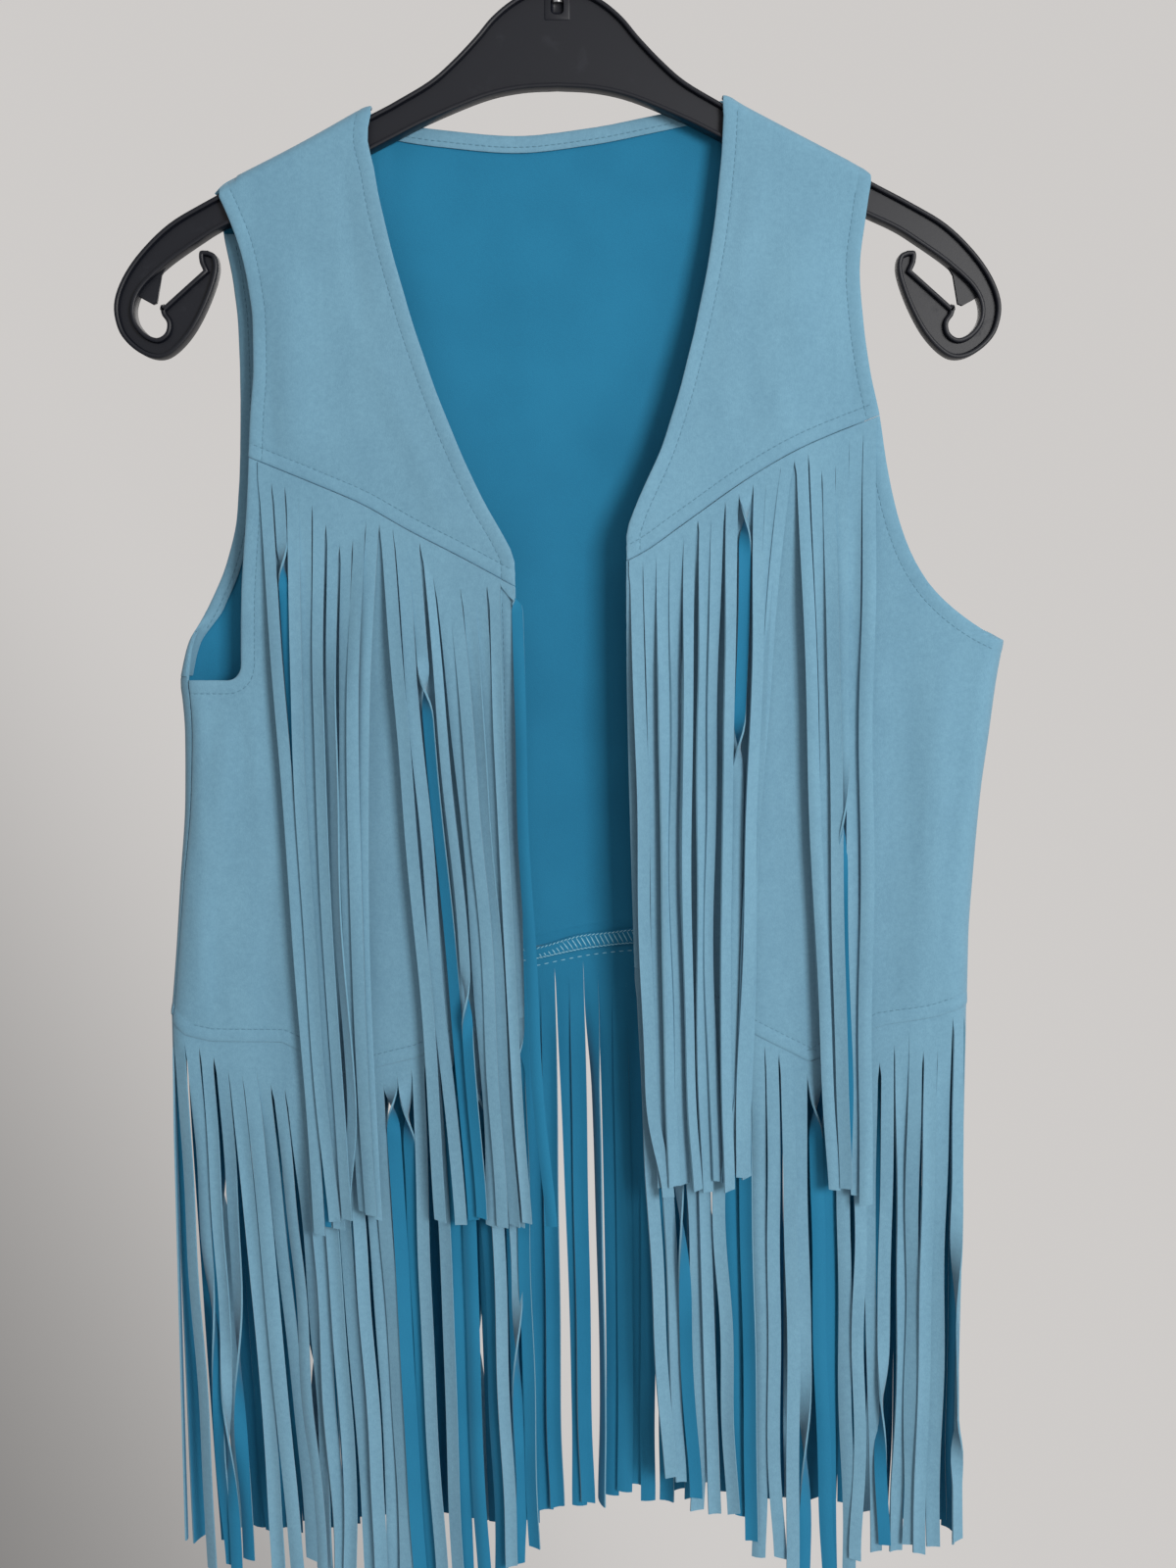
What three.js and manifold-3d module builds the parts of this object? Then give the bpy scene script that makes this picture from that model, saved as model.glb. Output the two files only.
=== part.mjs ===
// A fringed open-front vest of suede-faced cloth, hanging on a moulded clothes hanger with a wire hook.
// Millimetres. +Z is up, +X is the viewer's right, -Y is the front.
// The origin is the inner top of the wire hook, where a rail carries it.
// Left and right are as seen from the front.
import * as THREE from 'three';
import { mergeVertices } from 'three/addons/utils/BufferGeometryUtils.js';
import Module from 'manifold-3d';

const wasm = await Module();
wasm.setup();

// Cloth
const CLOTH = 1.3;
const TURNING = 1.0;
const SEAM_GAP = 0.3;

// Hanger
const HANGER_DEPTH = 9;
const WEB_DEPTH = 3.4;
const RIM_WIDTH = 2.2;
const CROWN_Z = -52;
const ARM_SLOPE = 0.504;
const ARM_START = { x: 78.2, z: -105 };
const BELOW_ARMS = -164;
const WINDOW = { width: 7.6, height: 8, z: -61 };

// Wire hook
const WIRE = 3.6;
const HOOK_INNER_RADIUS = 20;
const HOOK_END_ANGLE = 215;
const HEAD = { radius: 2.9, height: 2.2 };

// How the cloth hangs round the hanger: distances from the middle plane of the hanger
const SHOULDER_RISE = 4.2;
const SHOULDER_DEPTH = 6;
const SHOULDER_DROP = 5.2;
const FRONT = { depth: 9, from: 20, over: 130 };
const OPENING = { lean: 8, reach: 55, over: 220 };
const BACK = { depth: 8.4, neckDepth: 8, from: 8, over: 60 };
const FOLD_WIDTH = 10;
const FOLD_MIDDLE = -1;
const SEAM_SETTLES = 150;

// Fringe
const STRAND_WIDTH = 6.2;
const STRAND_DEPTH = 1;
const LAYER = 2.3;
const YOKE_STRIP = 8;
const HEM_STRIP = 6.5;
const STRAND_LEVELS = [0.06, 0.33, 0.68, 1];

const clamp = (value, low, high) => Math.min(high, Math.max(low, value));
const mix = (a, b, t) => a + (b - a) * t;
const smooth = (t) => {
  const c = clamp(t, 0, 1);
  return c * c * (3 - 2 * c);
};
const degrees = Math.PI / 180;
// A repeatable number from -1 to 1 for each strand and purpose
const uneven = (strand, purpose) => {
  const wave = Math.sin(strand * 12.9898 + purpose * 78.233) * 4375.85;
  return 2 * (wave - Math.floor(wave)) - 1;
};

// Reads a table with straight lines between its rows
function straight(rows, from, to) {
  const sorted = [...rows].sort((a, b) => a[from] - b[from]);
  return (value) => {
    let i = 0;
    while (i < sorted.length - 2 && value > sorted[i + 1][from]) i += 1;
    const t = (value - sorted[i][from]) / (sorted[i + 1][from] - sorted[i][from]);
    return mix(sorted[i][to], sorted[i + 1][to], clamp(t, 0, 1));
  };
}

// Reads a table with a smooth curve that never overshoots its rows
function curved(rows, from, to) {
  const p = [...rows].sort((a, b) => a[from] - b[from]);
  const slope = [];
  for (let i = 0; i < p.length - 1; i += 1) {
    slope.push((p[i + 1][to] - p[i][to]) / (p[i + 1][from] - p[i][from]));
  }
  const tangent = p.map((_, i) => {
    if (i === 0) return slope[0];
    if (i === p.length - 1) return slope[i - 1];
    if (slope[i - 1] * slope[i] <= 0) return 0;
    return (2 * slope[i - 1] * slope[i]) / (slope[i - 1] + slope[i]);
  });
  return (value) => {
    const at = clamp(value, p[0][from], p[p.length - 1][from]);
    let i = 0;
    while (i < p.length - 2 && at > p[i + 1][from]) i += 1;
    const span = p[i + 1][from] - p[i][from];
    const t = (at - p[i][from]) / span;
    const t2 = t * t;
    const t3 = t2 * t;
    return (2 * t3 - 3 * t2 + 1) * p[i][to] + (t3 - 2 * t2 + t) * span * tangent[i]
      + (3 * t2 - 2 * t3) * p[i + 1][to] + (t3 - t2) * span * tangent[i + 1];
  };
}

// Outlines. Each row is one height z with the edge's place x.
const left = {
  sign: -1,
  armpit: -373,
  turningEnd: -375,
  armhole: curved([
    { z: -142, x: -160.5 }, { z: -154, x: -154.8 }, { z: -171, x: -148.6 }, { z: -187, x: -145.1 },
    { z: -205, x: -143 }, { z: -225, x: -142.9 }, { z: -248, x: -144.7 }, { z: -286, x: -146.8 },
    { z: -337, x: -150.7 }, { z: -372, x: -151.5 },
  ], 'z', 'x'),
  backArmhole: curved([
    { z: -142, x: -161 }, { z: -163, x: -158.4 }, { z: -183, x: -154.9 }, { z: -207, x: -152.9 },
    { z: -231, x: -152.6 }, { z: -263, x: -153.3 }, { z: -295, x: -155.6 }, { z: -317, x: -161 },
    { z: -335, x: -168.8 }, { z: -354, x: -178.5 }, { z: -373, x: -182 },
  ], 'z', 'x'),
  side: curved([
    { z: -373, x: -182 }, { z: -398, x: -180.4 }, { z: -430, x: -181 }, { z: -472, x: -184.5 },
    { z: -513, x: -188 }, { z: -556, x: -192.5 },
  ], 'z', 'x'),
  opening: curved([
    { z: -105, x: -85.6 }, { z: -120, x: -88.6 }, { z: -135, x: -85.6 }, { z: -150, x: -82.9 },
    { z: -193, x: -71.7 }, { z: -239, x: -56.4 }, { z: -286, x: -36.2 }, { z: -307, x: -24.4 },
    { z: -316, x: -20.6 }, { z: -328, x: -20.1 }, { z: -560, x: -16.2 },
  ], 'z', 'x'),
  yokeSeam: curved([
    { x: -148, z: -266.6 }, { x: -114, z: -280.3 }, { x: -93, z: -289.2 }, { x: -70, z: -302 },
    { x: -46, z: -314.2 }, { x: -20, z: -328.2 },
  ], 'x', 'z'),
  hemPoint: -103,
  hem: straight([
    { x: -192.5, z: -537 }, { x: -183, z: -546 }, { x: -170, z: -549.1 }, { x: -135, z: -549.6 },
    { x: -103, z: -565.5 }, { x: -69, z: -556.2 }, { x: -40, z: -543.9 }, { x: -16, z: -535 },
  ], 'x', 'z'),
  seamAngle: { top: 61, bottom: 38 },
};
const right = {
  sign: 1,
  armpit: -354,
  turningEnd: -350,
  armhole: curved([
    { z: -135, x: 147 }, { z: -156, x: 144 }, { z: -180, x: 141.5 }, { z: -205, x: 143.5 },
    { z: -228, x: 147 }, { z: -248, x: 151.5 }, { z: -270, x: 155 }, { z: -292, x: 160 },
    { z: -311, x: 166.8 }, { z: -325, x: 175 }, { z: -336, x: 185 }, { z: -347, x: 200 },
    { z: -354, x: 214 },
  ], 'z', 'x'),
  backArmhole: curved([
    { z: -135, x: 147 }, { z: -156, x: 142.5 }, { z: -180, x: 139 }, { z: -205, x: 140 },
    { z: -248, x: 147 }, { z: -270, x: 151 }, { z: -292, x: 156 }, { z: -311, x: 162 },
    { z: -325, x: 170 }, { z: -336, x: 180 }, { z: -347, x: 196 }, { z: -354, x: 214 },
  ], 'z', 'x'),
  side: curved([
    { z: -354, x: 214 }, { z: -372, x: 211 }, { z: -398, x: 208 }, { z: -428, x: 204.5 },
    { z: -464, x: 202 }, { z: -500, x: 200.3 }, { z: -545, x: 200.3 },
  ], 'z', 'x'),
  opening: curved([
    { z: -99, x: 75.5 }, { z: -108, x: 77.6 }, { z: -122, x: 77.1 }, { z: -146, x: 75 },
    { z: -169, x: 72.1 }, { z: -218, x: 62.2 }, { z: -261, x: 49.8 }, { z: -296, x: 34.8 },
    { z: -304, x: 32.6 }, { z: -319, x: 32.6 }, { z: -560, x: 38.3 },
  ], 'z', 'x'),
  yokeSeam: curved([
    { x: 31, z: -317 }, { x: 42, z: -311 }, { x: 59.5, z: -298.6 }, { x: 91, z: -276.6 },
    { x: 115, z: -263 }, { x: 154, z: -247 },
  ], 'x', 'z'),
  hemPoint: 123.4,
  hem: straight([
    { x: 37, z: -510.5 }, { x: 61.5, z: -523.6 }, { x: 94, z: -544 }, { x: 123.4, z: -559.3 },
    { x: 157.5, z: -541 }, { x: 183, z: -537 }, { x: 200.3, z: -531.5 },
  ], 'x', 'z'),
  seamAngle: { top: -8, bottom: -12 },
};
const backHem = curved([
  { x: -192.5, z: -537.5 }, { x: -150, z: -532 }, { x: -100, z: -523 }, { x: -50, z: -513 },
  { x: -15, z: -506.4 }, { x: 19, z: -500 }, { x: 40, z: -498 }, { x: 75, z: -501 },
  { x: 120, z: -511 }, { x: 165, z: -523 }, { x: 200.3, z: -532 },
], 'x', 'z');
const backNeck = curved([
  { x: -85.6, z: -108 }, { x: -74, z: -111 }, { x: -56, z: -113.5 }, { x: -20, z: -116.3 },
  { x: 15, z: -112.7 }, { x: 45, z: -107.1 }, { x: 65, z: -103 }, { x: 77, z: -101 },
], 'x', 'z');

// Soft folds. Each row is one ridge: its place, how wide and deep it is, and where it runs.
const frontFolds = [
  { x: -128, width: 11, depth: 1.6, top: -170, bottom: -262, lean: 0.05 },
  { x: -60, width: 13, depth: -1.4, top: -190, bottom: -300, lean: 0.3 },
  { x: -158, width: 7, depth: 1.8, top: -384, bottom: -530, lean: -0.12 },
  { x: -132, width: 9, depth: -1.5, top: -330, bottom: -540, lean: -0.04 },
  { x: -72, width: 14, depth: 1.6, top: -340, bottom: -556, lean: 0.02 },
  { x: 116, width: 12, depth: 1.7, top: -150, bottom: -258, lean: -0.1 },
  { x: 78, width: 12, depth: -1.3, top: -180, bottom: -285, lean: -0.25 },
  { x: 186, width: 8, depth: 2, top: -352, bottom: -530, lean: -0.06 },
  { x: 165, width: 9, depth: -1.6, top: -330, bottom: -525, lean: -0.03 },
  { x: 92, width: 14, depth: 1.5, top: -320, bottom: -545, lean: 0.04 },
];
const backFolds = [
  { x: -118, width: 15, depth: 2.2, top: -190, bottom: -520, lean: 0.08 },
  { x: -62, width: 18, depth: -1.8, top: -160, bottom: -500, lean: 0.02 },
  { x: 8, width: 20, depth: 2, top: -230, bottom: -500, lean: 0.03 },
  { x: 74, width: 16, depth: -2, top: -170, bottom: -490, lean: -0.03 },
  { x: 128, width: 14, depth: 2.1, top: -210, bottom: -510, lean: -0.05 },
];

function foldsAt(folds, x, z) {
  let depth = 0;
  for (const fold of folds) {
    const run = (fold.top - z) / (fold.top - fold.bottom);
    const fade = smooth(run * 5) * smooth((1.15 - run) * 4);
    const place = fold.x + fold.lean * (fold.top - z);
    depth += fold.depth * fade * Math.exp(-(((x - place) / fold.width) ** 2));
  }
  return depth;
}

// The straps of the back end here, where the neck begins
const STRAP_ENDS = { left: -85.6, right: 76.6 };

// The top of the shoulders, a little above the hanger's arms
const ridge = (x) => ARM_START.z - ARM_SLOPE * (Math.abs(x) - ARM_START.x) + SHOULDER_RISE;

// Depth of the fronts and of the back below the shoulders, on the middle of the cloth's wall
function frontDepth(side, x, z) {
  const below = ridge(x) - z;
  const inward = Math.abs(side.opening(z) - x);
  const lean = OPENING.lean * Math.exp(-inward / OPENING.reach) * smooth(below / OPENING.over);
  const hang = mix(SHOULDER_DEPTH, FRONT.depth, smooth((below - FRONT.from) / FRONT.over));
  return -(hang + lean + foldsAt(frontFolds, x, z));
}
function backDepth(x, z) {
  const below = ridge(x) - z;
  const inNeck = smooth((x - STRAP_ENDS.left) / 8) * smooth((STRAP_ENDS.right - x) / 8);
  const top = mix(SHOULDER_DEPTH, BACK.neckDepth, inNeck);
  return mix(top, BACK.depth, smooth((below - BACK.from) / BACK.over)) + foldsAt(backFolds, x, z);
}

// A point of a front: u is 0 at the side seam or armhole and 1 at the opening
const FRONT_FOLD_SHARE = 0.14;
function frontPoint(side, u, z) {
  const below = z < side.armpit;
  const outer = below ? side.side(z) : side.armhole(z);
  const turn = clamp(1 - Math.abs(outer - side.side(z)) / FOLD_WIDTH, 0, 1);
  const fall = smooth((side.armpit - z) / SEAM_SETTLES);
  const start = mix(side.seamAngle.top, side.seamAngle.bottom, fall);
  const inner = side.opening(z);
  const spread = FOLD_WIDTH * (1 - Math.cos(start * degrees));
  if (u < FRONT_FOLD_SHARE) {
    const share = u / FRONT_FOLD_SHARE;
    const angle = mix(start, 90, share) * degrees;
    const round = FOLD_WIDTH * (1 - Math.cos(angle));
    const flat = mix(Math.abs(spread) * turn, FOLD_WIDTH, share);
    const x = outer - side.sign * mix(flat, round, turn);
    const level = frontDepth(side, x, z);
    const bent = FOLD_MIDDLE + (level - FOLD_MIDDLE) * Math.sin(angle);
    return new THREE.Vector3(x, mix(level, bent, smooth(turn)), z);
  }
  const across = (u - FRONT_FOLD_SHARE) / (1 - FRONT_FOLD_SHARE);
  const x = mix(outer - side.sign * FOLD_WIDTH, inner, across);
  return new THREE.Vector3(x, frontDepth(side, x, z), z);
}

// A point of the back: u is 0 at the left side seam or armhole and 1 at the right one
const BACK_FOLD_SHARE = 0.1;
// The back starts this many degrees round the side fold from the front's edge
const SEAM_TURN = 4;
function backPoint(u, z) {
  const half = u < 0.5 ? left : right;
  const edge = u < 0.5 ? u : 1 - u;
  const outerOf = (side) => (z < side.armpit ? side.side(z) : side.backArmhole(z));
  const outer = outerOf(half);
  if (edge < BACK_FOLD_SHARE) {
    const turn = clamp(1 - Math.abs(outer - half.side(z)) / FOLD_WIDTH, 0, 1);
    const fall = smooth((half.armpit - z) / SEAM_SETTLES);
    const seam = mix(half.seamAngle.top, half.seamAngle.bottom, fall) - SEAM_TURN;
    const share = edge / BACK_FOLD_SHARE;
    const angle = mix(seam, -90, share) * degrees;
    const round = FOLD_WIDTH * (1 - Math.cos(angle));
    const x = outer - half.sign * mix(FOLD_WIDTH * share, round, turn);
    const flat = backDepth(x, z);
    const reach = angle > 0 ? FOLD_MIDDLE + FRONT.depth : flat - FOLD_MIDDLE;
    const bent = FOLD_MIDDLE - reach * Math.sin(angle);
    return new THREE.Vector3(x, mix(flat, bent, smooth(turn)), z);
  }
  const across = (u - BACK_FOLD_SHARE) / (1 - 2 * BACK_FOLD_SHARE);
  const x = mix(outerOf(left) + FOLD_WIDTH, outerOf(right) - FOLD_WIDTH, across);
  return new THREE.Vector3(x, backDepth(x, z), z);
}

// The height at which a column of a panel crosses an edge given as z for each x
function crossing(pointAt, u, edge, start) {
  let z = start;
  for (let i = 0; i < 12; i += 1) z = mix(z, edge(pointAt(u, z).x), 0.8);
  return z;
}

const evenly = (from, to, count) => Array.from({ length: count + 1 }, (_, i) => mix(from, to, i / count));

// Normals of a grid of points, from its neighbours
function normalsOf(grid) {
  return grid.map((row, r) => row.map((_, c) => {
    const down = grid[Math.min(r + 1, grid.length - 1)][c].clone().sub(grid[Math.max(r - 1, 0)][c]);
    const along = row[Math.min(c + 1, row.length - 1)].clone().sub(row[Math.max(c - 1, 0)]);
    return along.cross(down).normalize();
  }));
}
function movedOut(grid, distance) {
  const normals = normalsOf(grid);
  return grid.map((row, r) => row.map((point, c) => point.clone().addScaledVector(normals[r][c], distance)));
}

// A closed wall of cloth round a grid of middle points, rows from top to bottom, columns from -X to +X
function wall(grid, thickness) {
  const rows = grid.length;
  const columns = grid[0].length;
  const faces = [movedOut(grid, thickness / 2), movedOut(grid, -thickness / 2)];
  const positions = faces.flatMap((face) => face.flatMap((row) => row.flatMap((p) => [p.x, p.y, p.z])));
  const at = (face, r, c) => face * rows * columns + r * columns + c;
  const index = [];
  const quad = (a, b, c, d) => index.push(a, b, c, a, c, d);
  for (let r = 0; r < rows - 1; r += 1) {
    for (let c = 0; c < columns - 1; c += 1) {
      quad(at(0, r, c), at(0, r, c + 1), at(0, r + 1, c + 1), at(0, r + 1, c));
      quad(at(1, r, c), at(1, r + 1, c), at(1, r + 1, c + 1), at(1, r, c + 1));
    }
  }
  for (let c = 0; c < columns - 1; c += 1) {
    quad(at(0, 0, c + 1), at(0, 0, c), at(1, 0, c), at(1, 0, c + 1));
    quad(at(0, rows - 1, c), at(0, rows - 1, c + 1), at(1, rows - 1, c + 1), at(1, rows - 1, c));
  }
  for (let r = 0; r < rows - 1; r += 1) {
    quad(at(0, r, 0), at(0, r + 1, 0), at(1, r + 1, 0), at(1, r, 0));
    quad(at(0, r + 1, columns - 1), at(0, r, columns - 1), at(1, r, columns - 1), at(1, r + 1, columns - 1));
  }
  return outwards(positions, index);
}

// A geometry whose faces point out, whichever way round its grid was read
function outwards(positions, index) {
  let volume = 0;
  const corner = (i) => new THREE.Vector3().fromArray(positions, 3 * i);
  for (let i = 0; i < index.length; i += 3) {
    volume += corner(index[i]).dot(corner(index[i + 1]).cross(corner(index[i + 2])));
  }
  const turned = [...index];
  if (volume < 0) {
    for (let i = 0; i < index.length; i += 3) [turned[i + 1], turned[i + 2]] = [index[i + 2], index[i + 1]];
  }
  const geometry = new THREE.BufferGeometry();
  geometry.setAttribute('position', new THREE.Float32BufferAttribute(positions, 3));
  geometry.setIndex(turned);
  return geometry;
}

function solidOf(geometry) {
  const bare = geometry.clone();
  bare.deleteAttribute('normal');
  bare.deleteAttribute('uv');
  const merged = mergeVertices(bare, 1e-4);
  return new wasm.Manifold(new wasm.Mesh({
    numProp: 3,
    vertProperties: new Float32Array(merged.attributes.position.array),
    triVerts: new Uint32Array(merged.index.array),
  }));
}
function geometryOf(solid) {
  const mesh = solid.getMesh();
  const geometry = new THREE.BufferGeometry();
  geometry.setAttribute('position', new THREE.Float32BufferAttribute(mesh.vertProperties, 3));
  geometry.setIndex([...mesh.triVerts]);
  return geometry;
}

// Panels
const ridgeAngles = [8, 38, 65, 90];
// Rows down to the armpit, closer together where the armhole turns outwards
const ARMHOLE_ROWS = [0, 0.2, 0.39, 0.56, 0.7, 0.81, 0.9, 0.96, 1];

// Points on the way from the ridge down to the flat of a panel; away is -1 to the front and 1 to the back
function overShoulder(point, top, angle, away) {
  const round = angle * degrees;
  const y = away * (SEAM_GAP / 2 + CLOTH / 2) + (point.y - away * (SEAM_GAP / 2 + CLOTH / 2)) * Math.sin(round);
  return new THREE.Vector3(point.x, y, top - SHOULDER_DROP * (1 - Math.cos(round)));
}

// Columns of a lower front, with one through the point of its hem
function frontColumns(side) {
  const z = side.hem(side.hemPoint);
  const outer = side.side(z) - side.sign * FOLD_WIDTH;
  const point = mix(FRONT_FOLD_SHARE, 1, (side.hemPoint - outer) / (side.opening(z) - outer));
  return [0, 0.05, 0.1, ...evenly(FRONT_FOLD_SHARE, point, 5), ...evenly(point, 1, 6).slice(1)];
}

function ordered(side, grid) {
  return side.sign < 0 ? grid : grid.map((row) => [...row].reverse());
}

// The lower edges of the panels, which the fringe hangs from
function frontHemEdge(side) {
  const pointAt = (u, z) => frontPoint(side, u, z);
  const edge = frontColumns(side).map((u) => pointAt(u, crossing(pointAt, u, side.hem, -545)));
  return side.sign < 0 ? edge : edge.reverse();
}
const backHemEdge = () => backColumns().map((u) => backPoint(u, crossing(backPoint, u, backHem, -520)));

function yoke(side) {
  const pointAt = (u, z) => frontPoint(side, u, z);
  const columns = [0, ...evenly(FRONT_FOLD_SHARE, 1, 9)];
  const grid = [];
  const tops = columns.map((u) => crossing(pointAt, u, ridge, -125));
  const seams = columns.map((u) => crossing(pointAt, u, side.yokeSeam, -290) + SEAM_GAP / 2);
  for (const angle of ridgeAngles) {
    grid.push(columns.map((u, c) => overShoulder(pointAt(u, tops[c] - SHOULDER_DROP), tops[c], angle, -1)));
  }
  for (const t of evenly(0, 1, 9).slice(1)) {
    grid.push(columns.map((u, c) => pointAt(u, mix(tops[c] - SHOULDER_DROP, seams[c], t))));
  }
  return wall(ordered(side, grid), CLOTH);
}

function lowerFront(side) {
  const pointAt = (u, z) => frontPoint(side, u, z);
  const columns = frontColumns(side);
  const tops = columns.map((u) => crossing(pointAt, u, side.yokeSeam, -290) - SEAM_GAP / 2);
  const hems = columns.map((u) => crossing(pointAt, u, side.hem, -545));
  // Two level rows at the armpit keep its corner square
  const above = ARMHOLE_ROWS.map((t) => columns.map((u, c) => pointAt(u, mix(tops[c], side.armpit + 0.5, t))));
  const below = evenly(0, 1, 7).map((t) => columns.map((u, c) => pointAt(u, mix(side.armpit - 1.5, hems[c], t))));
  return wall(ordered(side, [...above, ...below]), CLOTH);
}

const onStrap = (x) => x <= STRAP_ENDS.left || x >= STRAP_ENDS.right;
const backTop = (x) => (onStrap(x) ? ridge(x) : backNeck(x));

function backColumns() {
  const span = (x) => {
    const z = backTop(x);
    const from = left.backArmhole(z) + FOLD_WIDTH;
    const to = right.backArmhole(z) - FOLD_WIDTH;
    return mix(BACK_FOLD_SHARE, 1 - BACK_FOLD_SHARE, (x - from) / (to - from));
  };
  const step = 0.012;
  const strapLeft = span(STRAP_ENDS.left);
  const strapRight = span(STRAP_ENDS.right);
  return [
    0, BACK_FOLD_SHARE / 3, (2 * BACK_FOLD_SHARE) / 3,
    ...evenly(BACK_FOLD_SHARE, strapLeft, 4),
    ...evenly(strapLeft + step, strapRight - step, 9),
    ...evenly(strapRight, 1 - BACK_FOLD_SHARE, 4),
    1 - (2 * BACK_FOLD_SHARE) / 3, 1 - BACK_FOLD_SHARE / 3, 1,
  ];
}

function backPanel() {
  const columns = backColumns();
  const tops = columns.map((u) => crossing(backPoint, u, backTop, -125));
  const hems = columns.map((u) => crossing(backPoint, u, backHem, -520));
  const grid = [];
  for (const angle of ridgeAngles) {
    grid.push(columns.map((u, c) => {
      const z = tops[c] - SHOULDER_DROP * (1 - Math.cos(angle * degrees));
      const flat = backPoint(u, z);
      return onStrap(flat.x) ? overShoulder(flat, tops[c], angle, 1) : flat;
    }));
  }
  const armpits = columns.map((u) => mix(left.armpit, right.armpit, u));
  for (const t of ARMHOLE_ROWS.slice(1)) {
    grid.push(columns.map((u, c) => backPoint(u, mix(tops[c] - SHOULDER_DROP, armpits[c], t))));
  }
  for (const t of evenly(0, 1, 7).slice(1)) {
    grid.push(columns.map((u, c) => backPoint(u, mix(armpits[c], hems[c], t))));
  }
  return grid;
}
const backGrid = backPanel();

// Turned edges lie on the inside of the back and follow its own points
const INSIDE_BACK = -(CLOTH / 2 + SEAM_GAP + TURNING / 2);

function neckTurning() {
  const columns = backGrid[0].map((_, c) => c).filter((c) => {
    const { x } = backGrid[0][c];
    return x > STRAP_ENDS.left + 2 && x < STRAP_ENDS.right - 2;
  });
  const upper = ridgeAngles.length - 1;
  const down = (c, drop) => {
    const from = drop < SHOULDER_DROP ? backGrid[0][c] : backGrid[upper][c];
    const to = drop < SHOULDER_DROP ? backGrid[upper][c] : backGrid[upper + 1][c];
    return from.clone().lerp(to, (backGrid[0][c].z - drop - from.z) / (to.z - from.z));
  };
  const grid = [0.6, SHOULDER_DROP, 8.4].map((drop) => columns.map((c) => down(c, drop)));
  return wall(movedOut(grid, INSIDE_BACK), TURNING);
}

function armholeTurning(side) {
  const last = backGrid[0].length - 1;
  const rows = backGrid.filter((row) => {
    const { z } = row[side.sign < 0 ? 0 : last];
    return z < BELOW_ARMS && z > side.turningEnd;
  });
  const grid = rows.map((row) => {
    const { z } = row[side.sign < 0 ? 0 : last];
    const turn = clamp(1 - Math.abs(side.backArmhole(z) - side.side(z)) / FOLD_WIDTH, 0, 1);
    return [0.15, 1, 1.9].map((columns) => {
      const share = columns * mix(1, 0.5, turn);
      const c = side.sign < 0 ? share : last - share;
      const i = clamp(Math.floor(c), 0, last - 1);
      return row[i].clone().lerp(row[i + 1], c - i);
    });
  });
  return wall(movedOut(ordered(side, grid), INSIDE_BACK), TURNING);
}

// Where a strand's middle is at a share t of its length, and how far it has turned
function hanging(root, hang, t) {
  const along = root.along.clone().setZ(0).normalize();
  const away = new THREE.Vector3(along.y, -along.x, 0);
  const facing = Math.abs(along.x) ** 3;
  const centre = root.point.clone();
  centre.addScaledVector(along, hang.sway * facing * t ** 1.3 * Math.sin(2.2 * t + hang.phase));
  centre.addScaledVector(away, (hang.clear + hang.layer * facing) * smooth(t / 0.3));
  centre.x += Math.tan(hang.lean * degrees) * hang.length * t;
  centre.z -= hang.length * t;
  const turn = hang.twist * facing * t;
  const wide = along.clone().multiplyScalar(Math.cos(turn)).addScaledVector(away, Math.sin(turn));
  return { centre, wide, deep: new THREE.Vector3(-wide.y, wide.x, 0) };
}

// Points along an edge at given distances, as seen from above
function pointsAlong(edge, distances) {
  const reach = [0];
  for (let i = 1; i < edge.length; i += 1) {
    reach.push(reach[i - 1] + Math.hypot(edge[i].x - edge[i - 1].x, edge[i].y - edge[i - 1].y));
  }
  const total = reach[reach.length - 1];
  return distances(total).map((at) => {
    let i = 1;
    while (i < edge.length - 1 && reach[i] < at) i += 1;
    const t = (at - reach[i - 1]) / (reach[i] - reach[i - 1]);
    return edge[i - 1].clone().lerp(edge[i], t);
  });
}

// The columns of a strip: its two ends and the two edges of each strand
const strandEdges = (count) => (total) => {
  const pitch = total / count;
  const starts = Array.from({ length: count }, (_, n) => pitch * (n + 0.5) - STRAND_WIDTH / 2);
  return [0, ...starts.flatMap((start) => [start, start + STRAND_WIDTH]), total];
};

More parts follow.
